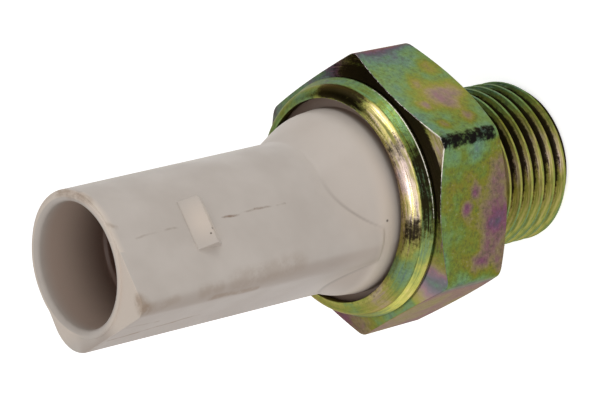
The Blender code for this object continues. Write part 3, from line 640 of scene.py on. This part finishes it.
# stops round the axis in degrees, read with by_angle: the last joins the first
SIDE_FILM = [
    (-33, 0.62), (-12, 0.52), (8, 0.50), (19, 0.66), (24, 0.90), (28, 1.06), (33, 1.18), (40, 1.20),
    (45, 1.19), (58, 1.22), (68, 1.29), (80, 1.09), (90, 1.05), (100, 1.09), (118, 1.14), (130, 1.09),
    (142, 1.02), (150, 0.40), (240, 0.45)]
RIM_FILM = [
    (-150, 0.16), (-60, 0.50), (-20, 0.16), (0, 0.50), (25, 0.12), (40, 0.30), (56, 0.52), (84, 0.56),
    (98, 0.42), (116, 0.34), (150, 0.36), (175, 0.10)]
FLANK_FILM = [
    (-90, 0.30), (-20, 0.06), (10, 0.34), (30, 0.28), (45, 0.22), (90, 0.18), (110, 0.08), (135, 0.14),
    (160, 0.05), (200, 0.10)]
# painted dark reflection on the rim's crown, by angle round the axis
CROWN_DARK_REFLECTION = [
    (-150, 0.30), (-60, 0.14), (28, 0.14), (40, 0.34), (48, 0.74), (53, 0.70), (61, 0.22), (80, 0.10),
    (87, 0.40), (94, 0.58), (101, 0.28), (106, 0.0), (115, 0.0), (121, 0.42), (129, 0.86), (150, 0.94),
    (158, 0.44), (168, 0.18), (200, 0.22)]
# darkening of the collar's slope, by angle round the axis
FLANK_DARKENING = [
    (-60, 0.12), (30, 0.14), (40, 0.20), (50, 0.56), (62, 0.72), (84, 0.76), (92, 0.48), (98, 0.10),
    (150, 0.06), (170, 0.20), (200, 0.20)]
CHAMFER_FILM = [
    (-60, 0.60), (-34, 0.66), (-20, 0.20), (8, 0.16), (18, 0.58), (25, 0.90), (33, 0.38), (45, 0.38),
    (60, 0.30), (80, 0.44), (95, 0.44), (110, 0.36), (150, 0.44), (160, 0.94), (200, 1.02), (250, 0.60)]
# painted dark reflection on the hexagon's front chamfer, by angle round the axis
CHAMFER_DARK_REFLECTION = [
    (-60, 0.10), (30, 0.05), (45, 0.30), (56, 0.60), (64, 0.92), (75, 1.0), (146, 1.0), (154, 0.60),
    (162, 0.16), (240, 0.20)]
# wear and painted edge highlight along the hexagon's front edge, by angle round the axis
EDGE_WEAR_AND_HIGHLIGHT = [
    (-40, 0.20), (30, 0.25), (50, 0.42), (70, 0.58), (80, 0.74), (92, 0.78), (100, 0.62), (150, 0.50),
    (170, 0.30), (240, 0.20)]
# painted shade in the neck's groove, by angle round the axis
GROOVE_SHADE = [(-90, 0.10), (20, 0.15), (45, 0.45), (62, 0.90), (150, 0.95), (200, 0.40)]
THREAD_FILM = [
    (-30, 0.28), (20, 0.31), (42, 0.36), (58, 0.44), (72, 0.52), (85, 0.52), (95, 0.42), (110, 0.34),
    (150, 0.16), (200, 0.26)]
# painted highlight on the thread, by angle round the axis
THREAD_HIGHLIGHT = [
    (-40, 0.34), (20, 0.42), (40, 0.54), (60, 0.58), (85, 0.52), (98, 0.30), (120, 0.06), (170, 0.0)]
# painted shade with dirt in the thread's roots, by angle round the axis
ROOT_SHADE_AND_GRIME = [(-40, 0.20), (30, 0.26), (44, 0.50), (54, 0.84), (66, 1.0), (150, 1.0), (220, 0.6)]
# painted highlight on the rim's crown, by angle round the axis
RIM_HIGHLIGHT = [
    (-60, 0.20), (30, 0.24), (42, 0.40), (50, 0.60), (58, 1.0), (116, 1.0), (124, 0.60), (150, 0.30),
    (165, 0.10), (200, 0.05)]


def turned_lines(tree, place):
    """Fine lines round the axis: noise that changes slowly across it and fast along the turned profile,
    whose length is stored per vertex."""
    axes = node(tree, "ShaderNodeSeparateXYZ", {0: place})
    along = node(tree, "ShaderNodeCombineXYZ", {
        0: maths(tree, "MULTIPLY", axes.outputs[0], LINE_RATE_ACROSS),
        1: maths(tree, "MULTIPLY", axes.outputs[1], LINE_RATE_ACROSS),
        2: maths(tree, "MULTIPLY", attribute_of(tree, "lathe"), LINE_RATE_ALONG)})
    return noise(tree, along.outputs[0], 1.0, detail=3.0, roughness=0.65)


def film_colour(tree, place, turned, lines):
    """The film's colour from its stored thickness, broken up by noise and along the turned lines: cloudy and
    dull where it is matt, and bright with brown lines where the stored painted highlight mixes in the bright
    ramp of a shiny face."""
    drift = centred(tree, noise(tree, place, 360, detail=2.0), 0.76)
    mottle = centred(tree, noise(tree, place, 1500, detail=4.0, roughness=0.6), 0.24)
    uneven = maths(tree, "MULTIPLY", maths(tree, "ADD", drift, mottle), attribute_of(tree, "uneven"))
    lined = maths(tree, "MULTIPLY", turned, centred(tree, lines, 0.8))
    film = maths(tree, "ADD", attribute_of(tree, "film"), maths(tree, "ADD", uneven, lined))
    film = maths(tree, "WRAP", film, 1.0, 0.0)
    cloud = noise(tree, place, 2600, detail=4.0, roughness=0.75)
    matt = mix(tree, span(tree, cloud, 0.34, 0.54, 0.50, 0.0), ramp(tree, film, FILM_COLOURS), DULL_COLOUR)
    matt = mix(tree, span(tree, cloud, 0.56, 0.74, 0.0, 0.26), matt, PALE_FILM_COLOUR)
    streaks = maths(tree, "MULTIPLY", turned, span(tree, lines, 0.36, 0.56, 0.62, 0.0))
    polished_highlight = mix(tree, streaks, ramp(tree, film, POLISHED_HIGHLIGHT_COLOURS), TURNED_LINE_COLOUR)
    return mix(tree, attribute_of(tree, "painted_highlight"), matt, polished_highlight)


def plated_steel(obj):
    """Zinc with a yellow chromate film, whose hue follows the film's thickness and whose brighter colours
    are painted highlight. Grime, painted shade and painted dark reflections darken it with ragged edges,
    edges carry wear to bright metal with painted edge highlights, turned faces have fine lines and one
    corner of the hexagon has a patchy black marker stripe."""
    material, tree, shader = shader_of("plated_steel")
    place = object_place(tree)
    turned = attribute_of(tree, "turned")
    lines = turned_lines(tree, place)
    colour = film_colour(tree, place, turned, lines)
    ragged = centred(tree, noise(tree, place, 2300, detail=5.0, roughness=0.75), 1.1)
    furrow = maths(tree, "MULTIPLY", turned, centred(tree, lines, 1.5))
    # grime, painted shade and painted dark reflections, stored in one darkening mask with ragged edges
    shade_and_grime = maths(tree, "ADD", maths(tree, "ADD", attribute_of(tree, "shade_and_grime"), ragged), furrow)
    colour = mix(tree, span(tree, shade_and_grime, 0.22, 0.78, 0.0, 0.97), colour, SHADE_AND_GRIME_COLOUR)
    # wear to bright metal and painted edge highlights, stored in one mask
    wear_and_highlight = maths(tree, "ADD", attribute_of(tree, "wear_and_highlight"), ragged)
    colour = mix(tree, span(tree, wear_and_highlight, 0.42, 0.62), colour, WEAR_AND_HIGHLIGHT_COLOUR)
    patch = noise(tree, place, 1500, detail=5.0, roughness=0.7)
    ink = span(tree, maths(tree, "ADD", patch, attribute_of(tree, "marker")), 1.22, 1.52)
    tree.links.new(mix(tree, ink, colour, INK_COLOUR), shader.inputs["Base Color"])
    shader.inputs["Metallic"].default_value = 1.0
    shader.inputs["Specular Tint"].default_value = METAL_TINT
    rough = centred(tree, noise(tree, place, 1800, detail=3.0), 0.12)
    tree.links.new(maths(tree, "ADD", rough, attribute_of(tree, "rough")), shader.inputs["Roughness"])
    grain = noise(tree, place, 5200, detail=3.0, roughness=0.6)
    height = maths(tree, "MULTIPLY_ADD", lines, turned, maths(tree, "MULTIPLY", grain, 0.6))
    bump(tree, shader, height, 0.6, 0.04)
    obj.data.materials.append(material)
    at = plating_zones(obj)
    store_film(obj, at)
    store_shade_and_grime(obj, at)
    store_wear_and_highlight(obj, at)
    store_finish(obj, at)
    store_marker(obj, at)


def by_angle(angle, stops):
    """A value round the axis, read between (degrees, value) stops; the last stop joins the first."""
    places, values = zip(*stops)
    return np.interp(angle, places, values, period=360)


def plating_zones(obj):
    """The body's points and the zones that they lie in, told by radius, height and angle round the axis. A
    zone is true or false, or a share from 0 to 1 where it fades out. turn is the angle round the roll's own
    centre, and down the distance from the top of the collar's slope."""
    x, y, z = vertex_places(obj).T
    radius = np.hypot(x, y)
    angle = np.degrees(np.arctan2(y, x))
    turn = np.arctan2(z - ROLL_CENTRE_Z, radius - ROLL_CENTRE_RADIUS)
    thread = (z < SEAT_Z - 0.02) & (radius < THREAD_RING_RADIUS + 0.05)
    front = (z > HEX_FRONT_Z + 0.2) & (radius > LIP_RADIUS - LIP_BORDER - 0.02)
    side = (~thread) & (z < HEX_FRONT_Z + 0.02) & (radius > THREAD_RING_RADIUS + 0.05)
    roll = front & (z > ROLL_CENTRE_Z)
    edge_z = HEX_FRONT_Z - (hexagon_radius(np.radians(angle)) - HEX_FRONT_FACE_RADIUS) * HEX_FRONT_SLOPE
    chamfer = side & (z > edge_z - 0.02)
    return SimpleNamespace(
        x=x, y=y, z=z, radius=radius, angle=angle, turn=turn, edge_z=edge_z, thread=thread, front=front,
        side=side, roll=roll, chamfer=chamfer, plain_side=side & ~chamfer,
        flank=front & (~roll) & (z > NECK_TOP_Z - 0.05) & (radius > RIM_SIDE_RADIUS - 0.02),
        groove=(radius < FOOT_RADIUS - 0.04) & (z > HEX_FRONT_Z - 0.02) & (z < NECK_TOP_Z + 0.02),
        inner=(radius < LIP_RADIUS + 0.02) & (z > SEAT_Z) & (z < LIP_TOP_Z - 0.08),
        down=np.hypot(radius - RIM_SIDE_RADIUS, z - ROLL_CENTRE_Z),
        crown=smooth_step(-0.05, 0.22, turn) * smooth_step(1.64, 1.42, turn),
        lip=roll * smooth_step(1.42, 1.60, turn),
        crest=smooth_step(THREAD_RADIUS - 0.10, THREAD_RADIUS - 0.03, radius) * thread,
        # light_corner: the chamfer near the corner at 87 degrees, given painted highlight; brown_corner: the
        # chamfer near 147 degrees, with less painted dark reflection
        light_corner=smooth_step(12.48, 12.60, radius) * near(angle, 87, 20),
        brown_corner=smooth_step(12.55, 12.75, radius) * near(angle, 147, 22))


def store_film(obj, at):
    """Thickness of the film, in orders of interference, and how far noise changes it."""
    raised = np.zeros(len(at.z))
    lowered = np.zeros(len(at.z))
    for patch_angle, height, wide, tall, shift in FILM_PATCHES:
        away = ((at.angle - patch_angle) / wide) ** 2 + ((at.z - height) / tall) ** 2
        raised = np.maximum(raised, shift * np.exp(-away))
        lowered = np.minimum(lowered, shift * np.exp(-away))
    bore_film = 0.30
    film = np.where(at.side, by_angle(at.angle, SIDE_FILM) + raised + lowered, bore_film)
    on_flank = smooth_step(0.30, 0.0, at.turn)
    rim_film = by_angle(at.angle, RIM_FILM) * (1 - on_flank) + by_angle(at.angle, FLANK_FILM) * on_flank
    film = np.where(at.front, rim_film, film)
    film = np.where(at.thread, by_angle(at.angle, THREAD_FILM) - 0.16 * at.crest, film)
    attribute(obj, "film", np.where(at.chamfer, by_angle(at.angle, CHAMFER_FILM), film))
    attribute(obj, "uneven", np.where(at.thread, 0.45, np.where(at.front, 0.85, 1.0)))


def store_shade_and_grime(obj, at):
    """Darkening per vertex: painted shade with dirt in the thread's roots, a darker band of the thread round
    100 degrees, painted shade in the groove and in the bores under the lip, painted dark reflections on the
    front chamfer and the rim's crown, a darker collar slope and a darker lip.
    """
    # painted shade with dirt in the thread's roots, and a darker band of the thread round 100 degrees
    in_root = np.clip((THREAD_RADIUS - 0.14 - at.radius) / 0.54, 0, 1) * at.thread
    shade_and_grime = in_root * by_angle(at.angle, ROOT_SHADE_AND_GRIME) + 0.20 * at.thread * near(at.angle, 100, 50)
    # painted shade in the neck's groove and in the bores under the lip
    shade_and_grime = shade_and_grime + at.groove * by_angle(at.angle, GROOVE_SHADE) + 0.5 * at.inner
    # painted dark reflection on the front chamfer, weaker at its lit corner and at the brown corner
    less_dark_reflection = (1 - 0.88 * at.light_corner) * (1 - 0.30 * at.brown_corner)
    shade_and_grime = shade_and_grime + at.chamfer * by_angle(at.angle, CHAMFER_DARK_REFLECTION) * less_dark_reflection
    # painted dark reflection on the rim's crown, and a darker lip
    shade_and_grime = shade_and_grime + at.roll * (at.crown * by_angle(at.angle, CROWN_DARK_REFLECTION) + 0.30 * at.lip)
    # darkening of the collar's slope
    slope = at.flank | (at.roll & (at.turn < 0.3))
    shade_and_grime = shade_and_grime + slope * (1 - at.crown) * by_angle(at.angle, FLANK_DARKENING)
    attribute(obj, "shade_and_grime", np.clip(shade_and_grime, 0, 1))


def store_wear_and_highlight(obj, at):
    """Bare metal and painted edge highlights, as thin light lines, on the hexagon's front edge, the collar's
    foot, two lines on its slope and the lip's edge, and painted highlight on the chamfer's lit corner.
    """
    front_edge = at.side * near(at.z, at.edge_z, 0.07) * (at.radius > HEX_FRONT_FACE_RADIUS + 0.2)
    foot_down = math.hypot(FOOT_RADIUS - RIM_SIDE_RADIUS, FOOT_TOP_Z - ROLL_CENTRE_Z)
    foot_edge = at.flank * near(at.down, foot_down, 0.13)
    flank_lines = at.flank * (near(at.down, 0.30, 0.07) + near(at.down, 0.62, 0.07)) * near(at.angle, 72, 34)
    lip_edge = at.roll * near(at.turn, ROLL_END, 0.12) * near(at.angle, 130, 70)
    wear_and_highlight = front_edge * by_angle(at.angle, EDGE_WEAR_AND_HIGHLIGHT) + foot_edge * (0.20 + 0.56 * near(at.angle, 95, 75))
    wear_and_highlight = wear_and_highlight + 0.32 * at.chamfer * at.light_corner + 0.50 * flank_lines + 0.52 * lip_edge
    attribute(obj, "wear_and_highlight", np.clip(wear_and_highlight, 0, 1))


def store_finish(obj, at):
    """Painted highlight, roughness, strength of the turned lines and the place along the turned profile."""
    # painted highlight: the bright polished colours mixed in on the rim's crown and lip, on the thread, on a
    # few areas and on the chamfer's lit corner, less on the thread's crests
    rim_highlight = by_angle(at.angle, RIM_HIGHLIGHT)
    painted_highlight = rim_highlight * at.roll * at.crown + 0.40 * at.lip + at.thread * by_angle(at.angle, THREAD_HIGHLIGHT)
    painted_highlight = painted_highlight - 0.30 * at.crest + 0.34 * at.chamfer * at.light_corner
    for zone, middle, reach, amount in HIGHLIGHT_AREAS:
        painted_highlight = painted_highlight + amount * getattr(at, zone) * near(at.angle, middle, reach)
    attribute(obj, "painted_highlight", np.clip(painted_highlight, 0, 1))
    matt = at.front * (1 - rim_highlight)
    attribute(obj, "rough", np.where(at.thread, 0.36, np.where(at.front, 0.27 + 0.15 * matt, 0.42)))
    turned = np.where(at.roll | at.flank, 1.0 - 0.7 * matt, 0.85 * at.chamfer * (at.angle > 40))
    attribute(obj, "turned", np.where(at.thread, 0.9, turned))
    lathe = np.where(at.roll, at.turn * ROLL_RADIUS, np.where(at.flank, -at.down, at.radius * 2.2))
    attribute(obj, "lathe", np.where(at.thread, at.radius * 0.8, lathe))


def store_marker(obj, at):
    """The marker stripe along the hexagon's corner nearest to the nub's side."""
    corner = HEX_TURN + math.pi / 2
    across = -at.x * math.sin(corner) + at.y * math.cos(corner)
    stripe = np.exp(-(across / STRIPE_HALF_WIDTH) ** 4) * (np.abs(at.angle - math.degrees(corner)) < 30)
    length = smooth_step(*STRIPE_LOW_END, at.z) * smooth_step(*STRIPE_HIGH_END, at.z)
    attribute(obj, "marker", stripe * length * at.side)


def near_point(tree, place, point, reach):
    """A round spot: one within half its reach of a point in millimetres, nothing past its reach."""
    away = vector_maths(tree, "DISTANCE", {0: place, 1: [v * MM for v in point]})
    return span(tree, away.outputs["Value"], reach * MM / 2, reach * MM, 1.0, 0.0)


def near_line(tree, place, start, end, reach, strength):
    """A streak from one point to another, fading out at its reach: the distance to the nearest point of the
    line, found by the share of the way along it that the place projects to."""
    begin = Vector(start) * MM
    run = Vector(end) * MM - begin
    offset = vector_maths(tree, "SUBTRACT", {0: place, 1: begin}).outputs[0]
    share = vector_maths(tree, "DOT_PRODUCT", {0: offset, 1: run / run.length_squared})
    share = node(tree, "ShaderNodeClamp", {"Value": share.outputs["Value"]}).outputs[0]
    foot = vector_maths(tree, "SCALE", {0: run, "Scale": share}).outputs[0]
    away = vector_maths(tree, "DISTANCE", {0: offset, 1: foot})
    return span(tree, away.outputs["Value"], reach * MM / 4, reach * MM, strength, 0.0)


# colours of the housing: two of its clean plastic, then its places of painted shade and painted light, then
# its stains, streaks and specks
PLASTIC_COLOURS = ((0.553, 0.490, 0.437), (0.612, 0.548, 0.494))
BASE_SIDE_SHADE_COLOUR = (0.44, 0.360, 0.307)
LIT_FACE_COLOUR = (0.74, 0.635, 0.545)
GAP_SHADE_COLOUR = (0.26, 0.185, 0.145)
CREASE_SHADE_COLOUR = (0.24, 0.19, 0.155)
SOCKET_MOUTH_SHADE_COLOUR = (0.56, 0.435, 0.360)
SOCKET_SHADE_COLOUR = (0.070, 0.026, 0.014)
STAIN_COLOUR = (0.28, 0.170, 0.092)
STREAK_COLOUR = (0.20, 0.11, 0.055)
SPECK_COLOUR = (0.085, 0.055, 0.035)

# stains, a dark patch on the nub's back slope and thin dirty streaks, each from one point to another with
# its reach and strength, and specks with their reach, all in millimetres
STAINS = [
    ((7.1, 6.3, 53.9), (6.4, 6.6, 54.3), 1.1, 0.60), ((7.4, 6.2, 53.4), (7.2, 6.5, 50.5), 0.8, 0.25),
    ((6.9, 6.6, 43.5), (6.6, 6.7, 36.5), 1.5, 0.26), ((7.0, 6.4, 47.5), (7.0, 6.5, 45.5), 0.9, 0.25),
    ((-1.0, 6.8, 54.3), (-0.4, 6.8, 53.6), 0.5, 0.95), ((1.2, 6.9, 53.7), (1.3, 6.9, 53.5), 0.3, 0.95),
    # the second entry on the next line darkens the nub's back slope, behind its peak
    ((-3.5, 5.9, 54.4), (-6.2, 1.8, 54.4), 0.8, 0.45), ((1.5, 7.5, 44.3), (2.1, 7.4, 44.1), 0.45, 0.85),
    ((7.25, -0.7, 53.6), (7.3, 0.7, 44.4), 0.30, 0.95), ((7.2, 2.6, 53.6), (7.3, 2.2, 50.0), 0.3, 0.55),
    ((7.5, 5.6, 46.5), (7.6, 5.3, 41.0), 0.5, 0.45)]
STREAKS = [
    ((0.9, 6.6, 52.0), (0.8, 6.7, 46.9), 0.16, 0.30), ((0.9, 6.7, 42.6), (1.0, 6.8, 35.4), 0.18, 0.80)]
SPECKS = [
    ((5.02, 7.28, 25.5), 0.22), ((7.0, 6.5, 33.8), 0.22), ((6.6, 6.7, 39.3), 0.20), ((1.9, 7.6, 44.7), 0.20),
    ((0.4, 7.6, 45.0), 0.14), ((2.3, 7.5, 45.1), 0.14)]


def wavy_place(tree, place):
    """The place moved to and fro by noise, by up to 0.3 mm, so that a streak along it isn't straight."""
    cloud = node(tree, "ShaderNodeTexNoise", {"Vector": place, "Scale": 500.0, "Detail": 3.0})
    away = vector_maths(tree, "SUBTRACT", {0: cloud.outputs["Color"], 1: (0.5, 0.5, 0.5)})
    away = vector_maths(tree, "SCALE", {0: away.outputs[0], "Scale": 0.6 * MM})
    return vector_maths(tree, "ADD", {0: place, 1: away.outputs[0]}).outputs[0]


def grey_plastic(obj):
    """Warm grey glass-filled plastic: a faint cloudiness and fine grain, the stored painted light and
    painted shade, with a socket painted darker with depth, brown stains broken up by noise, thin dirty
    streaks and dark specks."""
    material, tree, shader = shader_of("grey_plastic")
    place = object_place(tree)
    cloud = noise(tree, place, 180, detail=3.0)
    colour = mix(tree, span(tree, cloud, 0.3, 0.7), *PLASTIC_COLOURS)
    # painted shade and painted light stored per vertex, mixed over the plastic
    for name, shade in (("base_side", BASE_SIDE_SHADE_COLOUR), ("pale", LIT_FACE_COLOUR), ("gap", GAP_SHADE_COLOUR),
                        ("crease", CREASE_SHADE_COLOUR), ("bore", SOCKET_MOUTH_SHADE_COLOUR), ("depth", SOCKET_SHADE_COLOUR)):
        colour = mix(tree, attribute_of(tree, name), colour, shade)
    patch = noise(tree, place, 900, detail=5.0, roughness=0.65)
    wavy = wavy_place(tree, place)
    blotches = span(tree, patch, 0.32, 0.58, 0.25, 1.0)
    for start, end, reach, strength in STAINS:
        stain = maths(tree, "MULTIPLY", near_line(tree, wavy, start, end, reach, strength), blotches)
        colour = mix(tree, stain, colour, STAIN_COLOUR)
    breaks = span(tree, patch, 0.35, 0.6, 0.1, 1.0)
    for start, end, reach, strength in STREAKS:
        streak = maths(tree, "MULTIPLY", near_line(tree, wavy, start, end, reach, strength), breaks)
        colour = mix(tree, streak, colour, STREAK_COLOUR)
    for point, reach in SPECKS:
        colour = mix(tree, near_point(tree, place, point, reach), colour, SPECK_COLOUR)
    tree.links.new(colour, shader.inputs["Base Color"])
    tree.links.new(span(tree, cloud, 0.3, 0.7, 0.50, 0.42), shader.inputs["Roughness"])
    shader.inputs["Specular IOR Level"].default_value = 0.4
    grain = noise(tree, place, 3800, detail=3.0)
    bump(tree, shader, grain, 0.25, 0.03)
    obj.data.materials.append(material)
    store_shades(obj)


def store_shades(obj):
    """Per-vertex painted light and shade of the housing: painted shade by how deep a point lies in the
    socket, painted shade on the base side, painted light on the nub, cone, end face and the base's foot,
    painted shade in the gap beside the rolled lip and along the crease where the shroud's corners run out
    into the cone."""
    x, y, z = vertex_places(obj).T
    radius = np.hypot(x, y)
    angle = np.degrees(np.arctan2(y, x))
    off_centre = np.hypot(x - SOCKET_OFFSET, y)
    inside = (off_centre < SOCKET_RADIUS + 0.4) & (z > SOCKET_FLOOR_Z - 1)
    # painted shade into the socket: a darker tone just inside the mouth, then darker with depth
    attribute(obj, "bore", inside * smooth_step(MOUTH_Z - 0.3, MOUTH_Z - 1.5, z))
    attribute(obj, "depth", inside * smooth_step(MOUTH_Z - 2.0, MOUTH_Z - 9.0, z))
    # painted shade on the base side
    base = smooth_step(SHROUD_BASE_OFFSET - 0.8, SHROUD_BASE_OFFSET - 0.3, x)
    attribute(obj, "base_side", base * smooth_step(7.2, 5.6, y) * 0.8)
    # painted light on the nub, the cone, the end face and the base's foot
    on_nub = (y > SHROUD_ARC_RADIUS + 0.12) * near(x, (NUB_X[0] + NUB_X[1]) / 2, 3.2)
    on_nub = on_nub * near(z, NUB_PEAK_Z + 0.4, 2.4)
    end_face = (~inside) & (z > MOUTH_Z - MOUTH_STEP - 0.12)
    end_face = end_face * (1 - 0.9 * smooth_step(4.6, 6.4, x) * smooth_step(2.5, -0.5, y))
    on_cone = near(z, 27.5, 5.0) * (radius > CONE_TOP_RADIUS)
    foot = near(z, 25.4, 1.6) * (radius > CONE_TOP_RADIUS) * near(angle, 35, 110)
    attribute(obj, "pale", np.clip(on_nub + end_face + 0.35 * on_cone + foot, 0, 1))
    # painted shade in the gap beside the rolled lip
    attribute(obj, "gap", smooth_step(24.35, 23.7, z) * (radius > SKIRT_RADIUS))
    # painted shade along the crease where the shroud's corners run out into the cone
    seam = near(shroud_radius(np.arctan2(y, x), z) - cone_radius(z), 0, 0.16)
    attribute(obj, "crease", 0.45 * seam * near(z, 28.4, 3.6) * smooth_step(100, 84, angle))


# scene

def area_light(name, place, size, power):
    light = bpy.data.lights.new(name, "AREA")
    light.shape = "DISK"
    light.size = size
    light.energy = power
    obj = add_object(name, light)
    obj.location = place
    obj.rotation_euler = (Vector(LIGHT_AIM) - Vector(place)).to_track_quat("-Z", "Y").to_euler()
    obj.visible_camera = False
    return obj


def build_camera():
    camera = bpy.data.cameras.new("camera")
    camera.lens = CAMERA_LENS
    camera.sensor_width = 36.0
    camera.clip_start = 0.01
    obj = add_object("camera", camera)
    obj.location = CAMERA_PLACE
    obj.rotation_euler = Euler([math.radians(a) for a in CAMERA_TURN])
    bpy.context.scene.camera = obj


def build_world():
    """White where the camera, a reflection or a transmitted ray looks past everything, and a softer level
    for the light that falls on the object."""
    world = bpy.data.worlds.new("studio")
    bpy.context.scene.world = world
    world.use_nodes = True
    tree = world.node_tree
    background = tree.nodes["Background"]
    background.inputs["Color"].default_value = (1, 1, 1, 1)
    path = node(tree, "ShaderNodeLightPath")
    seen = maths(tree, "MAXIMUM", path.outputs["Is Camera Ray"], path.outputs["Is Glossy Ray"])
    seen = maths(tree, "MAXIMUM", seen, path.outputs["Is Transmission Ray"])
    level = node(tree, "ShaderNodeMapRange", {"Value": seen, "To Min": WORLD_LEVEL, "To Max": 1.0})
    tree.links.new(level.outputs[0], background.inputs["Strength"])


def build_floor():
    """A pale floor that the camera sees as white and that keeps the object's shadow."""
    bpy.ops.mesh.primitive_plane_add(size=3.0, location=(0, 0, -0.00005))
    floor = bpy.context.object
    floor.name = "floor"
    material, tree, shader = shader_of("floor")
    shader.inputs["Base Color"].default_value = (0.92, 0.92, 0.92, 1)
    shader.inputs["Roughness"].default_value = 0.9
    shader.inputs["Specular IOR Level"].default_value = 0.1
    path = node(tree, "ShaderNodeLightPath")
    seen = maths(tree, "MAXIMUM", path.outputs["Is Camera Ray"], path.outputs["Is Glossy Ray"])
    shader.inputs["Emission Color"].default_value = (1, 1, 1, 1)
    tree.links.new(maths(tree, "MULTIPLY", seen, FLOOR_GLOW), shader.inputs["Emission Strength"])
    floor.data.materials.append(material)


def seen_from_camera(right, up, towards, distance):
    """A place around the object at a distance, in the direction given along the camera's own axes."""
    direction = CAMERA_AXES @ np.array((right, up, towards))
    return tuple(OBJECT_MIDDLE + distance * direction / np.linalg.norm(direction))


def place_lights():
    area_light("top_bank", seen_from_camera(0.15, 0.95, 0.30, 0.40), 0.22, 0.42)
    area_light("front_bank", seen_from_camera(-0.22, -0.20, 0.95, 0.45), 0.16, 0.30)
    area_light("side_bank", seen_from_camera(0.9, 0.1, 0.4, 0.45), 0.20, 0.15)


def dark_card(name, place, width, height):
    """A black studio card that only reflections see, facing the object."""
    bpy.ops.mesh.primitive_plane_add(size=1.0, location=place)
    card = bpy.context.object
    card.name = name
    card.scale = (width, height, 1)
    card.rotation_euler = (Vector(OBJECT_MIDDLE) - Vector(place)).to_track_quat("Z", "Y").to_euler()
    material, tree, shader = shader_of(name)
    shader.inputs["Base Color"].default_value = (0.02, 0.018, 0.015, 1)
    shader.inputs["Roughness"].default_value = 0.9
    card.data.materials.append(material)
    card.visible_camera = False
    card.visible_diffuse = False
    card.visible_shadow = False
    card.visible_transmission = False


def place_cards():
    dark_card("card_left", seen_from_camera(-0.90, 0.40, 0.12, 0.30), 0.24, 0.24)
    dark_card("card_between", seen_from_camera(0.0, 0.52, 0.86, 0.30), 0.08, 0.08)
    dark_card("card_low", seen_from_camera(-0.30, -0.66, 0.70, 0.30), 0.08, 0.08)


def finish_nodes():
    """Gives each carried CAD node its finish."""
    steel = plain_metal("plain_steel", (0.52, 0.51, 0.49), (0.40, 0.39, 0.38), 0.34, 5000.0)
    wire = plain_metal("spring_steel", (0.46, 0.46, 0.47), (0.34, 0.34, 0.35), 0.30, 7000.0)
    brass = plain_metal("brass", (0.72, 0.55, 0.26), (0.58, 0.42, 0.18), 0.32, 5000.0)
    tinned = plain_metal("tinned_brass", (0.70, 0.68, 0.62), (0.55, 0.52, 0.45), 0.34, 4000.0)
    silver = plain_metal("silver_contact", (0.82, 0.81, 0.78), (0.66, 0.65, 0.62), 0.28, 6000.0)
    rubber = plain_polymer("black_rubber", (0.030, 0.030, 0.030), (0.018, 0.018, 0.018), 0.75)
    foil = plain_polymer("polyimide_foil", (0.50, 0.23, 0.05), (0.38, 0.16, 0.03), 0.25)
    pin = plain_polymer("white_plastic", (0.74, 0.72, 0.67), (0.66, 0.64, 0.58), 0.45)
    finishes = {
        "diaphragm_seal": rubber, "housing_seal": rubber, "diaphragm_lower": foil, "diaphragm_upper": foil,
        "clamp_ring": steel, "pressure_plate": steel, "push_pin": pin, "earth_contact": brass,
        "contact_plate": brass, "spring_cup": brass, "contact_rivet_base_side": silver,
        "contact_rivet_round_side": silver, "contact_spring": wire, "terminal_blade": tinned}
    for name, material in finishes.items():
        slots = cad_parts[name].material_slots
        for slot in slots:
            slot.material = material


def main():
    build_camera()
    build_world()
    build_floor()
    place_lights()
    place_cards()
    body = build_body()
    plated_steel(body)
    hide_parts("hex_body")
    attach(body, FIXED_BODY)
    housing = build_housing()
    grey_plastic(housing)
    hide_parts("connector_housing")
    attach(housing, FIXED_BODY)
    finish_nodes()
    bpy.context.scene.view_settings.view_transform = "Standard"


main()
